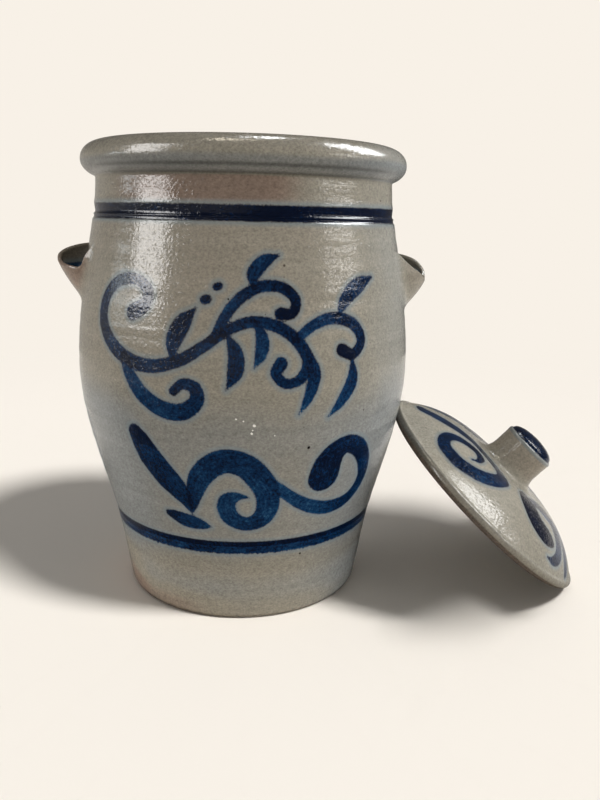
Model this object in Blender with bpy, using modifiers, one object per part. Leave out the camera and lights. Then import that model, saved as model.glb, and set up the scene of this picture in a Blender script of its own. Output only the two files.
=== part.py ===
"""A salt-glazed stoneware crock with two pocket lugs, its domed lid taken off and leaning on it.

Lengths are in metres and angles in degrees. The crock stands on its foot, whose centre is the
origin, with +Z up and its painted front towards -Y. The lid leans on the +X side of the belly,
standing on its own edge, and lifts away along its own axis.
"""

import math

import bmesh
import bpy
from mathutils import Matrix, Vector

MM = 0.001
FULL_TURN = 2.0 * math.pi

# Clearances
LUTED_GAP = 0.3 * MM  # between two pieces of clay that are fired together
LEAN_GAP = 0.3 * MM  # between the leaning lid and the crock's belly
LID_PLAY = 1.2 * MM  # all round the lid when it sits in the gallery of the rim

# The crock's outside: radii of the wall at named heights, and its flare there (radius per height)
CROCK_HEIGHT = 280.0 * MM
FOOT_RADIUS = 76.6 * MM
FOOT_FLARE = 0.20
FOOT_EASE = 2.0 * MM
LOWER_BAND_HEIGHT = 51.6 * MM
LOWER_BAND_RADIUS = 85.8 * MM
LOWER_BAND_FLARE = 0.24
BELLY_HEIGHT = 147.0 * MM
BELLY_RADIUS = 105.5 * MM
UPPER_BAND_HEIGHT = 240.6 * MM
SHOULDER_STEP = 1.9 * MM  # how much wider the wall is at the upper band than at the neck
SHOULDER_FLARE = -0.165
NECK_FLARE = -0.05

# Pairs of turned grooves that hold the painted bands
GROOVE_TALL = 3.6 * MM
GROOVE_PITCH = 4.6 * MM
GROOVE_DEPTH = 0.6 * MM

# The rolled rim, and the stepped gallery inside it that takes the lid
RIM_RADIUS = 99.7 * MM
RIM_TALL = 19.0 * MM
RIM_ROUND = 12.3 * MM  # half width of the roll's oval section
RIM_OVERHANG = 8.5 * MM
RIM_EASE = 1.2 * MM
NECK_WALL = 14.9 * MM
LEDGE_WIDTH = 8.8 * MM
GALLERY_DEPTH = 8.0 * MM

# The crock's inside
WALL = 7.5 * MM
BASE = 10.0 * MM
FLOOR_FILLET = 12.0 * MM
NECK_THICKENING = 24.0 * MM  # height over which the wall thickens towards the ledge

# Pocket lugs
LUG_TOP = 219.0 * MM
RIGHT_LUG_LOWER = 2.5 * MM
LEFT_LUG_ANGLE = 82.0  # from the crock's front
RIGHT_LUG_ANGLE = 87.0
LUG_HALF_WIDTH = 28.0 * MM
LUG_REACH = 16.2 * MM
LUG_TALL = 31.0 * MM
LUG_LIP = 4.2 * MM
LUG_DIP = 5.0 * MM  # how far the lip falls from the wall to the tip
LUG_FRONT_DIP = 9.0 * MM  # how much further the thumb pressed the front half down
LUG_POCKET = 15.0 * MM
LUG_FILLET = 5.0 * MM
LUG_TOE = 1.3 * MM
LUG_ROOT = 6.0 * MM
LUG_SQUARENESS = 2.5  # exponent of the oval that the lug follows in plan
LUG_NARROWING = 0.7  # share of its half width that the lug loses down to its toe
LUG_NARROWING_POWER = 2.6
LUG_UNDERSIDE_POWER = 1.35

# The lid
LID_EDGE = 6.5 * MM
LID_RISE = 18.8 * MM
LID_DOME_POWER = 2.6
LID_WALL = 7.0 * MM
SEAT_STEP = 1.2 * MM
SEAT_INSET = 3.2 * MM
SEAT_WIDTH = 8.0 * MM
HOLLOW_SIDE = 4.0 * MM

# The knob
KNOB_FOOT_RADIUS = 21.8 * MM
KNOB_FOOT_EDGE = 0.9 * MM
KNOB_FOOT_FILLET = 9.0 * MM
KNOB_WAIST_RADIUS = 18.0 * MM
KNOB_TOP_RADIUS = 18.2 * MM
KNOB_TALL = 23.6 * MM
KNOB_CROWN = 5.6 * MM
KNOB_EDGE_ROUND = 1.6 * MM

# How the lid leans: the tilt of its axis, the way the knob points and where it stands
LEAN_TILT = 42.0
LEAN_HEADING = -11.0
STAND_HEADING = -2.6

# Facets
CROCK_SEGMENTS = 64
LID_SEGMENTS = 64
KNOB_SEGMENTS = 40
LUG_SEGMENTS = 36

# Sizes that follow from the ones above
NECK_RADIUS = RIM_RADIUS - RIM_OVERHANG
THROAT_RADIUS = NECK_RADIUS - NECK_WALL
GALLERY_RADIUS = THROAT_RADIUS + LEDGE_WIDTH
LEDGE_HEIGHT = CROCK_HEIGHT - GALLERY_DEPTH
RIM_CENTRE_RADIUS = RIM_RADIUS - RIM_ROUND
RIM_CENTRE_HEIGHT = CROCK_HEIGHT - RIM_TALL / 2
LID_RADIUS = GALLERY_RADIUS - LID_PLAY
LID_EDGE_ROUND = LID_EDGE / 2
LID_TOP = SEAT_STEP + LID_EDGE + LID_RISE

CLAY = {
    "crock_body": ((0.29, 0.27, 0.225), 0.34),
    "handle_left": ((0.26, 0.235, 0.19), 0.38),
    "handle_right": ((0.28, 0.265, 0.22), 0.38),
    "lid": ((0.36, 0.345, 0.29), 0.30),
    "lid_knob": ((0.25, 0.23, 0.19), 0.30),
}


def clear_scene():
    """Remove every object of the scene the script is run in."""
    for obj in list(bpy.data.objects):
        bpy.data.objects.remove(obj)


def new_collection(name):
    """Return a new collection linked to the scene."""
    collection = bpy.data.collections.new(name)
    bpy.context.scene.collection.children.link(collection)
    return collection


def glazed_clay(name):
    """Return a sub-part's own material: glazed stoneware, with its colour and roughness."""
    colour, roughness = CLAY[name]
    material = bpy.data.materials.new(name + "_glaze")
    material.use_nodes = True
    shader = material.node_tree.nodes["Principled BSDF"]
    shader.inputs["Base Color"].default_value = (*colour, 1.0)
    shader.inputs["Roughness"].default_value = roughness
    shader.inputs["Metallic"].default_value = 0.0
    return material


def turned(name, profile, segments, collection):
    """Return a solid of revolution about Z, from (radius, height) points.

    The profile runs clockwise seen with the radius to the right: down its outer side.
    """
    mesh = bpy.data.meshes.new(name)
    points = [(radius, 0.0, height) for radius, height in profile]
    edges = [(index, index + 1) for index in range(len(points) - 1)]
    mesh.from_pydata(points, edges, [])
    obj = bpy.data.objects.new(name, mesh)
    collection.objects.link(obj)
    screw = obj.modifiers.new("turn", "SCREW")
    screw.axis = "Z"
    screw.angle = FULL_TURN
    screw.steps = segments
    screw.render_steps = segments
    screw.use_merge_vertices = True
    screw.merge_threshold = 0.01 * MM
    screw.use_smooth_shade = True
    return obj


def spread(start, end, count):
    """Return count evenly spaced values from start to end, both included."""
    return [start + (end - start) * index / (count - 1) for index in range(count)]


def oval_arc(centre, half_width, half_height, start, end, count):
    """Return points of an upright oval from one angle to another, in radians."""
    return [
        (centre[0] + half_width * math.cos(angle), centre[1] + half_height * math.sin(angle))
        for angle in spread(start, end, count)
    ]


def hermite(low, high, height):
    """Return the radius at a height on the smooth curve between two (height, radius, flare)."""
    span = high[0] - low[0]
    u = (height - low[0]) / span
    rise = u * u * (3.0 - 2.0 * u)
    leave = u * (1.0 - u) ** 2
    arrive = u * u * (u - 1.0)
    return low[1] + (high[1] - low[1]) * rise + span * (leave * low[2] + arrive * high[2])


def crease_angle():
    """Return the angle on the rim's oval at which its underside meets the neck."""
    return -math.acos(min(1.0, max(-1.0, (NECK_RADIUS - RIM_CENTRE_RADIUS) / RIM_ROUND)))


def crease_height():
    """Return the height of the crease between the neck and the rolled rim."""
    return RIM_CENTRE_HEIGHT + RIM_TALL / 2 * math.sin(crease_angle())


def wall_radius(height):
    """Return the outer radius of the crock's wall, without its grooves."""
    stations = (
        (0.0, FOOT_RADIUS, FOOT_FLARE),
        (LOWER_BAND_HEIGHT, LOWER_BAND_RADIUS, LOWER_BAND_FLARE),
        (BELLY_HEIGHT, BELLY_RADIUS, 0.0),
        (UPPER_BAND_HEIGHT, NECK_RADIUS + SHOULDER_STEP, SHOULDER_FLARE),
        (crease_height(), NECK_RADIUS, NECK_FLARE),
    )
    height = min(max(height, 0.0), stations[-1][0])
    for low, high in zip(stations, stations[1:]):
        if height <= high[0]:
            return hermite(low, high, height)
    return NECK_RADIUS


def groove_heights():
    """Return the height of each groove's middle: a pair for each painted band."""
    half = GROOVE_PITCH / 2
    return [band + side * half for band in (LOWER_BAND_HEIGHT, UPPER_BAND_HEIGHT) for side in (-1, 1)]


def groove_depth(height):
    """Return how far the grooves cut into the wall at a height."""
    depth = 0.0
    for middle in groove_heights():
        share = abs(height - middle) / (GROOVE_TALL / 2)
        if share < 1.0:
            depth = max(depth, GROOVE_DEPTH * math.cos(share * math.pi / 2) ** 2)
    return depth


def outer_heights():
    """Return the heights at which the outer wall is measured, from the crease down to the foot."""
    grooves = [
        middle + share * GROOVE_TALL / 2
        for middle in groove_heights()
        for share in (-1.0, -0.5, 0.0, 0.5, 1.0)
    ]
    plain = spread(crease_height(), FOOT_EASE, 20)
    clear = [
        height for height in plain[1:-1]
        if min(abs(height - groove) for groove in grooves) > GROOVE_TALL / 2
    ]
    return sorted([plain[0], plain[-1]] + clear + grooves, reverse=True)


def inner_wall_radius(height):
    """Return the inner radius of the wall, which thickens towards the ledge of the gallery."""
    start = LEDGE_HEIGHT - RIM_EASE - NECK_THICKENING
    share = min(max((height - start) / NECK_THICKENING, 0.0), 1.0)
    blend = share * share * (3.0 - 2.0 * share)
    plain = wall_radius(height) - WALL
    return plain + (THROAT_RADIUS - plain) * blend


def crock_profile():
    """Return the crock's section: up its inside, over the rim and down its outside."""
    side_foot = BASE + FLOOR_FILLET
    fillet_radius = inner_wall_radius(side_foot) - FLOOR_FILLET
    throat_top = LEDGE_HEIGHT - RIM_EASE
    inner_edge = GALLERY_RADIUS + RIM_EASE
    inner_angle = math.acos(min(1.0, max(-1.0, (inner_edge - RIM_CENTRE_RADIUS) / RIM_ROUND)))
    roll = oval_arc(
        (RIM_CENTRE_RADIUS, RIM_CENTRE_HEIGHT), RIM_ROUND, RIM_TALL / 2, inner_angle, crease_angle(), 12
    )

    profile = [(0.0, BASE)]
    profile += oval_arc((fillet_radius, side_foot), FLOOR_FILLET, FLOOR_FILLET, -math.pi / 2, 0.0, 4)
    profile += [(inner_wall_radius(z), z) for z in spread(side_foot, throat_top, 15)[1:]]
    profile += [(THROAT_RADIUS + RIM_EASE, LEDGE_HEIGHT), (GALLERY_RADIUS, LEDGE_HEIGHT)]
    profile += [(GALLERY_RADIUS, roll[0][1] - RIM_EASE)]
    profile += roll[:-1]
    profile += [(wall_radius(z) - groove_depth(z), z) for z in outer_heights()]
    profile += [(FOOT_RADIUS - FOOT_EASE, 0.0), (0.0, 0.0)]
    return profile


def wall_cutter(collection):
    """Return the space that the lugs keep clear of: the crock's outside and the luted gap."""
    section = [(wall_radius(z) - groove_depth(z) + LUTED_GAP, z) for z in outer_heights()]
    profile = [(0.0, section[0][1])] + section + [(0.0, section[-1][1])]
    cutter = turned("wall_cutter", profile, CROCK_SEGMENTS, collection)
    cutter.display_type = "WIRE"
    cutter.hide_render = True
    return cutter


def superellipse(angle):
    """Return the sideways and outward shares of a lug's plan at an angle."""
    power = 2.0 / LUG_SQUARENESS
    across = math.cos(angle)
    out = math.sin(angle)
    return (
        math.copysign(abs(across) ** power, across),
        math.copysign(abs(out) ** power, out),
    )


def lug_crest(angle, top):
    """Return the height of a lug's lip at an angle of its plan, from its rear end round to the front."""
    out = abs(math.sin(angle))
    front = max(0.0, -math.cos(angle))
    return top - LUG_DIP * out - 2.0 * LUG_FRONT_DIP * front * out


def lug_ring(half_width, reach, height_at, fillet):
    """Return one closed ring of a lug as (outward, sideways, up) points on the crock's wall."""
    ring = []
    for step in range(LUG_SEGMENTS):
        angle = FULL_TURN * step / LUG_SEGMENTS
        across, out = superellipse(angle)
        stand_off = reach * out if out > 0.0 else LUG_ROOT * out
        flare = fillet * (1.0 - min(1.0, max(0.0, stand_off) / fillet)) ** 2 if fillet > 0.0 else 0.0
        sideways = across * half_width + across * flare
        up = height_at(angle)
        wall = wall_radius(up)
        outward = math.sqrt(max(wall * wall - sideways * sideways, 0.0)) + stand_off
        ring.append(Vector((outward, sideways, up)))
    return ring


def lug_rings(top):
    """Return a lug's rings: up its outside from the toe, over the lip and down into the pocket."""
    bottom = top - LUG_TALL
    floor = top - LUG_DIP - LUG_POCKET
    rings = []
    for share in (1.0, 0.86, 0.7, 0.54, 0.38, 0.22, 0.1, 0.0):
        half_width = LUG_HALF_WIDTH * (1.0 - LUG_NARROWING * share ** LUG_NARROWING_POWER)
        reach = LUG_TOE + (LUG_REACH - LUG_TOE) * (1.0 - share ** LUG_UNDERSIDE_POWER)
        rings.append(lug_ring(
            half_width, reach,
            lambda angle, share=share: lug_crest(angle, top) * (1.0 - share) + bottom * share,
            LUG_FILLET,
        ))
    for turn in (36.0, 72.0, 108.0, 144.0, 180.0):
        bend = math.radians(turn)
        inset = LUG_LIP / 2 * (1.0 - math.cos(bend))
        lift = LUG_LIP / 2 * math.sin(bend)
        rings.append(lug_ring(
            LUG_HALF_WIDTH - inset, LUG_REACH - inset,
            lambda angle, lift=lift: lug_crest(angle, top) + lift,
            LUG_FILLET * max(0.0, math.cos(bend / 2)),
        ))
    for share, narrowing in ((0.4, 0.03), (0.75, 0.1), (1.0, 0.3)):
        rings.append(lug_ring(
            (LUG_HALF_WIDTH - LUG_LIP) * (1.0 - narrowing),
            (LUG_REACH - LUG_LIP) * (1.0 - narrowing),
            lambda angle, share=share: lug_crest(angle, top) * (1.0 - share) + floor * share,
            0.0,
        ))
    return rings


def loft(name, rings, collection):
    """Return a closed solid skinned over rings of equal count, with flat ends."""
    mesh = bpy.data.meshes.new(name)
    work = bmesh.new()
    loops = [[work.verts.new(point) for point in ring] for ring in rings]
    count = len(loops[0])
    for lower, upper in zip(loops, loops[1:]):
        for step in range(count):
            after = (step + 1) % count
            work.faces.new((lower[step], lower[after], upper[after], upper[step]))
    work.faces.new(list(reversed(loops[0])))
    work.faces.new(loops[-1])
    bmesh.ops.recalc_face_normals(work, faces=work.faces[:])
    work.to_mesh(mesh)
    work.free()
    mesh.shade_smooth()
    obj = bpy.data.objects.new(name, mesh)
    collection.objects.link(obj)
    return obj


def pocket_lug(name, side, angle, top, cutter, collection):
    """Return a lug on one side of the crock, trimmed to the wall that it is luted to.

    side is -1 for the left and 1 for the right; angle is measured from the crock's front.
    """
    bearing = math.radians(angle)
    out = Vector((side * math.sin(bearing), -math.cos(bearing), 0.0))
    rearward = Vector((side * math.cos(bearing), math.sin(bearing), 0.0))
    up = Vector((0.0, 0.0, 1.0))
    rings = [
        [out * point.x + rearward * point.y + up * point.z for point in ring]
        for ring in lug_rings(top)
    ]
    lug = loft(name, rings, collection)
    trim = lug.modifiers.new("trim_to_wall", "BOOLEAN")
    trim.operation = "DIFFERENCE"
    trim.solver = "EXACT"
    trim.object = cutter
    return lug


def dome_height(radius):
    """Return the height of the lid's top above its seat at a radius."""
    edge = LID_RADIUS - LID_EDGE_ROUND
    share = min(max((edge - radius) / (edge - KNOB_FOOT_RADIUS), 0.0), 1.0)
    return SEAT_STEP + LID_EDGE + LID_RISE * (1.0 - (1.0 - share) ** LID_DOME_POWER)


def lid_profile():
    """Return the lid's section: out over the dome, round the edge and back under it."""
    edge = LID_RADIUS - LID_EDGE_ROUND
    seat_outer = LID_RADIUS - SEAT_INSET
    seat_inner = seat_outer - SEAT_WIDTH
    hollow = seat_inner - HOLLOW_SIDE
    under_edge = -math.acos(min(1.0, max(0.0, (seat_outer - edge) / LID_EDGE_ROUND)))

    profile = [(0.0, LID_TOP)]
    profile += [(radius, dome_height(radius)) for radius in spread(KNOB_FOOT_RADIUS, edge, 12)[:-1]]
    profile += oval_arc(
        (edge, SEAT_STEP + LID_EDGE_ROUND), LID_EDGE_ROUND, LID_EDGE_ROUND, math.pi / 2, under_edge, 7
    )
    profile += [(seat_outer, 0.0), (seat_inner, 0.0)]
    profile += [(radius, dome_height(radius) - LID_WALL) for radius in spread(hollow, 0.0, 8)]
    return profile


def knob_profile():
    """Return the knob's section, from its crown down to the foot that is luted to the lid."""
    round_height = KNOB_TALL - KNOB_EDGE_ROUND
    crown_radius = KNOB_TOP_RADIUS - KNOB_EDGE_ROUND
    waist_height = KNOB_FOOT_EDGE + KNOB_FOOT_FILLET
    flare = (KNOB_TOP_RADIUS - KNOB_WAIST_RADIUS) / (round_height - waist_height) ** 2

    profile = [
        (crown_radius * math.sin(angle), KNOB_TALL + KNOB_CROWN * math.cos(angle))
        for angle in spread(0.0, math.pi / 2, 6)[:-1]
    ]
    profile += oval_arc((crown_radius, round_height), KNOB_EDGE_ROUND, KNOB_EDGE_ROUND, math.pi / 2, 0.0, 4)
    profile += [
        (KNOB_WAIST_RADIUS + flare * (height - waist_height) ** 2, height)
        for height in spread(round_height, waist_height, 5)[1:]
    ]
    profile += [
        (
            KNOB_WAIST_RADIUS + (KNOB_FOOT_RADIUS - KNOB_WAIST_RADIUS) * (1.0 - math.cos(angle)),
            waist_height - KNOB_FOOT_FILLET * math.sin(angle),
        )
        for angle in spread(0.0, math.pi / 2, 5)[1:]
    ]
    profile += [(KNOB_FOOT_RADIUS, 0.0), (0.0, 0.0)]
    return profile


def lean_axes():
    """Return the leaning lid's downhill, level and upright directions."""
    turn = Matrix.Rotation(math.radians(LEAN_HEADING), 3, "Z")
    turn = turn @ Matrix.Rotation(math.radians(LEAN_TILT), 3, "Y")
    return turn.col[0].copy(), turn.col[1].copy(), turn.col[2].copy()


def standing_height(profile):
    """Return the height of the lid's seat centre with its lowest point on the floor."""
    tilt = math.radians(LEAN_TILT)
    return max(radius * math.sin(tilt) - height * math.cos(tilt) for radius, height in profile)


def lean_clearance(distance, seat_height, profile):
    """Return the gap from the crock's wall to the lid that stands this far from the axis."""
    downhill, level, upright = lean_axes()
    heading = math.radians(STAND_HEADING)
    centre = Vector((distance * math.cos(heading), distance * math.sin(heading), seat_height))
    closest = distance
    for step in range(LID_SEGMENTS):
        angle = FULL_TURN * step / LID_SEGMENTS
        spoke = downhill * math.cos(angle) + level * math.sin(angle)
        for radius, height in profile:
            point = centre + spoke * radius + upright * height
            closest = min(closest, math.hypot(point.x, point.y) - wall_radius(point.z))
    return closest


def lean_distance(seat_height, profile):
    """Return how far from the crock's axis the lid stands when it just leans on the belly."""
    near = 0.0
    far = BELLY_RADIUS + 2.0 * LID_RADIUS + LID_TOP
    for _ in range(30):
        middle = (near + far) / 2
        if lean_clearance(middle, seat_height, profile) < LEAN_GAP:
            near = middle
        else:
            far = middle
    return far


def leaning_carrier(profile, collection):
    """Return the empty that carries the lid, at its seat's centre and with Z along its axis."""
    seat_height = standing_height(profile)
    distance = lean_distance(seat_height, profile)
    heading = math.radians(STAND_HEADING)
    carrier = bpy.data.objects.new("lid_carrier", None)
    collection.objects.link(carrier)
    carrier.location = (distance * math.cos(heading), distance * math.sin(heading), seat_height)
    carrier.rotation_euler = (0.0, math.radians(LEAN_TILT), math.radians(LEAN_HEADING))
    return carrier


def build():
    """Model the crock, its lugs, and the lid with its knob."""
    clear_scene()
    parts = new_collection("stoneware_crock")
    cutters = new_collection("cutters")

    crock = turned("crock_body", crock_profile(), CROCK_SEGMENTS, parts)
    cutter = wall_cutter(cutters)
    left = pocket_lug("handle_left", -1, LEFT_LUG_ANGLE, LUG_TOP, cutter, parts)
    right = pocket_lug("handle_right", 1, RIGHT_LUG_ANGLE, LUG_TOP - RIGHT_LUG_LOWER, cutter, parts)

    section = lid_profile()
    carrier = leaning_carrier(section, parts)
    lid = turned("lid", section, LID_SEGMENTS, parts)
    lid.parent = carrier
    knob = turned("lid_knob", knob_profile(), KNOB_SEGMENTS, parts)
    knob.parent = carrier
    knob.location = (0.0, 0.0, LID_TOP + LUTED_GAP)

    for obj in (crock, left, right, lid, knob):
        obj.data.materials.append(glazed_clay(obj.name))


build()
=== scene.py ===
"""Finish and staging of a salt-glazed stoneware crock with pocket lugs and a leaning domed lid.

Lengths are in metres unless a name ends in mm. The crock stands on its foot at the origin, +Z is
up and the painted front looks towards -Y. The lid leans on the +X side of the belly.
"""

import logging
import math
from dataclasses import dataclass, field, replace
from enum import Enum
from typing import Any, Callable

import bpy
import numpy as np
from bpy.types import Material, Node, NodeSocket, NodeTree, Object
from mathutils import Matrix, Vector


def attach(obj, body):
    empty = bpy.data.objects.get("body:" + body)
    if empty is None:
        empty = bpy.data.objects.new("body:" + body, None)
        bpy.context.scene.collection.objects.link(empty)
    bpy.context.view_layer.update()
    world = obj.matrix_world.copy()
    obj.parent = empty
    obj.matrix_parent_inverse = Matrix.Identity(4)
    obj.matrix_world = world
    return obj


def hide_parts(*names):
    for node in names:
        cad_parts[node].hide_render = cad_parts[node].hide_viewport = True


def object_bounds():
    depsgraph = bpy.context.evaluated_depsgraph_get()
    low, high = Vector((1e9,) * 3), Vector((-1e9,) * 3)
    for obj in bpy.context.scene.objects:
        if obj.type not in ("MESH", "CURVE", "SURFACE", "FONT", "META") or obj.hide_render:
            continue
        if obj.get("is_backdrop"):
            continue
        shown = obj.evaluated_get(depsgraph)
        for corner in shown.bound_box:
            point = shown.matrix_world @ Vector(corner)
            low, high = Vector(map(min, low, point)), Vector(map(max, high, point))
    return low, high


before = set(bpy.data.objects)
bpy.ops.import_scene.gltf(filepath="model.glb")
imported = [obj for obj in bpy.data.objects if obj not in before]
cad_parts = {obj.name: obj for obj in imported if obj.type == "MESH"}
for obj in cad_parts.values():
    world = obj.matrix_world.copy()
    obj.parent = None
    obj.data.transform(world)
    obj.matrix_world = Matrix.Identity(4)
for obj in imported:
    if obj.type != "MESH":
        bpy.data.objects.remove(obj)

MM = 0.001
LOG = logging.getLogger("crock")

Array = np.ndarray
Pair = tuple[float, float]
Triple = tuple[float, float, float]
Placer = Callable[[Array, Array], Array]


class Socket(Enum):
    """The kinds of socket that the shared node groups have."""

    VALUE = "NodeSocketFloat"
    VECTOR = "NodeSocketVector"
    COLOUR = "NodeSocketColor"


class Side(Enum):
    """The side of the crock that a lug or a layer of the floor is on, as a sign along X."""

    LEFT = -1
    RIGHT = 1


class Role(Enum):
    """What a lamp gives: light on the surface, or its own reflection in the glaze."""

    FILL = "fill"
    GLINT = "glint"


# Shapes


def hermite(low: Triple, high: Triple, height: Array) -> Array:
    """Give the radius on the smooth curve between two stations.

    Args:
        low: Height, radius and flare of the lower station.
        high: Height, radius and flare of the upper station.
        height: Heights at which the radius is wanted.

    Returns:
        The radius at each height.
    """
    span = high[0] - low[0]
    u = (height - low[0]) / span
    blend = low[1] + (high[1] - low[1]) * u * u * (3.0 - 2.0 * u)
    return blend + span * (u * (1.0 - u) ** 2 * low[2] + u * u * (u - 1.0) * high[2])


def oval_arc(centre: Pair, half_width: float, half_height: float,
             start: float, end: float, count: int) -> Array:
    """Give points of an upright oval from one angle to another.

    Args:
        centre: Radius and height of the oval's middle.
        half_width: Half of its width.
        half_height: Half of its height.
        start: First angle in radians.
        end: Last angle in radians.
        count: Number of points.

    Returns:
        An array of (radius, height) rows.
    """
    angle = np.linspace(start, end, count)
    return np.column_stack((centre[0] + half_width * np.cos(angle), centre[1] + half_height * np.sin(angle)))


def ramp(value: Array, low: float, high: float) -> Array:
    """Give 0 up to low, 1 from high on and a smooth rise between them; low may be the larger."""
    share = np.clip((value - low) / (high - low), 0.0, 1.0)
    return share * share * (3.0 - 2.0 * share)


def smooth_line(knots: tuple[Pair, ...], at: Array) -> Array:
    """Give the values at some places of a smooth line through (place, value) knots."""
    place, value = np.array(knots, float).T
    slope = np.gradient(value, place)
    low = np.clip(np.searchsorted(place, at) - 1, 0, len(place) - 2)
    span = place[low + 1] - place[low]
    u = np.clip((at - place[low]) / span, 0.0, 1.0)
    rise = value[low] + (value[low + 1] - value[low]) * u * u * (3.0 - 2.0 * u)
    return rise + span * (u * (1.0 - u) ** 2 * slope[low] + u * u * (u - 1.0) * slope[low + 1])


def rows_by_spacing(profile: Array, spacing: Array) -> Array:
    """Pick points of a dense profile so that they lie about as far apart as wished.

    Args:
        profile: Dense (radius, height) rows.
        spacing: The wished distance between points at each row.

    Returns:
        The rows that are kept, with both ends.
    """
    step = np.linalg.norm(np.diff(profile, axis=0), axis=1)
    cost = np.concatenate(([0.0], np.cumsum(step / spacing[1:])))
    marks = np.linspace(0.0, cost[-1], int(cost[-1]) + 2)
    return np.column_stack([np.interp(marks, cost, profile[:, axis]) for axis in (0, 1)])


def softened(profile: Array, centres: list[Pair], reach: float, passes: int) -> Array:
    """Round the corners of a dense profile near the given points.

    Args:
        profile: Dense (radius, height) rows.
        centres: Points near which the profile is rounded.
        reach: Distance over which the rounding fades out.
        passes: Number of smoothing passes.

    Returns:
        The rounded profile.
    """
    weight = np.zeros(len(profile))
    for centre in centres:
        near = np.linalg.norm(profile - np.array(centre), axis=1)
        weight = np.maximum(weight, ramp(near, reach, 0.4 * reach))
    out = profile.copy()
    for _ in range(passes):
        middle = 0.5 * (out[:-2] + out[2:]) - out[1:-1]
        out[1:-1] += weight[1:-1, None] * 0.7 * middle
    return out


def running_length(points: Array) -> Array:
    """Give the length of a polyline up to each of its points."""
    return np.concatenate(([0.0], np.cumsum(np.linalg.norm(np.diff(points, axis=0), axis=1))))


def dense(points: Array, step: float) -> Array:
    """Give the same polyline with points no further apart than step."""
    length = running_length(points)
    marks = np.linspace(0.0, length[-1], int(length[-1] / step) + 2)
    return np.column_stack([np.interp(marks, length, points[:, axis]) for axis in range(points.shape[1])])


def linked(name: str, data: Any) -> Object:
    """Make an object of a mesh, a lamp or a camera and link it to the scene."""
    obj = bpy.data.objects.new(name, data)
    bpy.context.scene.collection.objects.link(obj)
    return obj


def new_mesh(name: str, points: Array, faces: Array) -> Object:
    """Make a smooth-shaded mesh object from arrays.

    Args:
        name: Name of the piece.
        points: One row of coordinates for each vertex.
        faces: One row of vertex numbers for each face.

    Returns:
        The new object, linked to the scene.
    """
    mesh = bpy.data.meshes.new(name)
    mesh.from_pydata(points.tolist(), [], faces.tolist())
    mesh.shade_smooth()
    mesh.update()
    return linked(name, mesh)


def round_axis(points: Array) -> tuple[Array, Array]:
    """Give each point's distance from the axis and its angle from the front."""
    return np.hypot(points[:, 0], points[:, 1]), np.arctan2(points[:, 0], -points[:, 1])


def turned_grid(profile: Array, segments: int) -> tuple[Array, Array]:
    """Turn a profile about Z.

    Args:
        profile: Rows of (radius, height); the first and the last lie on the axis.
        segments: Number of steps round the axis.

    Returns:
        The vertices, ring by ring, and the faces. The rows on the axis are very small rings.
    """
    angle = np.linspace(0.0, 2.0 * math.pi, segments, endpoint=False)
    radius = np.maximum(profile[:, 0], 0.02 * MM)
    x = radius[:, None] * np.sin(angle)[None, :]
    y = -radius[:, None] * np.cos(angle)[None, :]
    z = np.repeat(profile[:, 1:2], segments, axis=1)
    points = np.stack((x, y, z), axis=-1).reshape(-1, 3)
    return points, grid_faces(len(profile), segments, closed=True)


def grid_faces(rows: int, columns: int, closed: bool) -> Array:
    """Give the faces of a grid of vertices.

    Args:
        rows: Number of rows of vertices.
        columns: Number of vertices in a row.
        closed: Whether the last column joins the first.

    Returns:
        One row of four vertex numbers for each face.
    """
    across = np.arange(columns if closed else columns - 1)
    after = (across + 1) % columns
    start = (np.arange(rows - 1) * columns)[:, None]
    quads = np.stack((start + across, start + after, start + columns + after, start + columns + across), axis=-1)
    return quads.reshape(-1, 4)


def set_field(obj: Object, name: str, values: Array) -> None:
    """Store a number or a vector for each vertex under a name that the finishes read."""
    kind, key = ("FLOAT", "value") if values.ndim == 1 else ("FLOAT_VECTOR", "vector")
    attribute = obj.data.attributes.new(name, kind, "POINT")
    attribute.data.foreach_set(key, np.ascontiguousarray(values, dtype=np.float32).ravel())


# Brushwork


@dataclass(frozen=True)
class Stroke:
    """One stroke of cobalt: its centre line with half widths in mm, and how loaded the brush was.

    Each knot holds two surface coordinates and a half width. On the crock they are the angle from
    the front in degrees and the height in mm; on the lid they are the plan's x and y in mm.
    """

    knots: tuple[Triple, ...]
    load_start: float = 0.75
    load_end: float = 0.45

    def samples(self, count_per_span: int = 14) -> Array:
        """Give rows of two coordinates and a half width along a smooth curve through the knots."""
        knots = np.array(self.knots, float)
        padded = np.vstack((2.0 * knots[0] - knots[1], knots, 2.0 * knots[-1] - knots[-2]))
        padded[0, 2], padded[-1, 2] = knots[0, 2], knots[-1, 2]
        share = np.linspace(0.0, 1.0, count_per_span, endpoint=False)[:, None]
        spans = []
        for index in range(len(knots) - 1):
            a, b, c, d = padded[index:index + 4]
            spans.append(0.5 * (
                2.0 * b + (c - a) * share + (2.0 * a - 5.0 * b + 4.0 * c - d) * share ** 2
                + (3.0 * b - a - 3.0 * c + d) * share ** 3
            ))
        return np.vstack(spans + [knots[-1:]])


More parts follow.
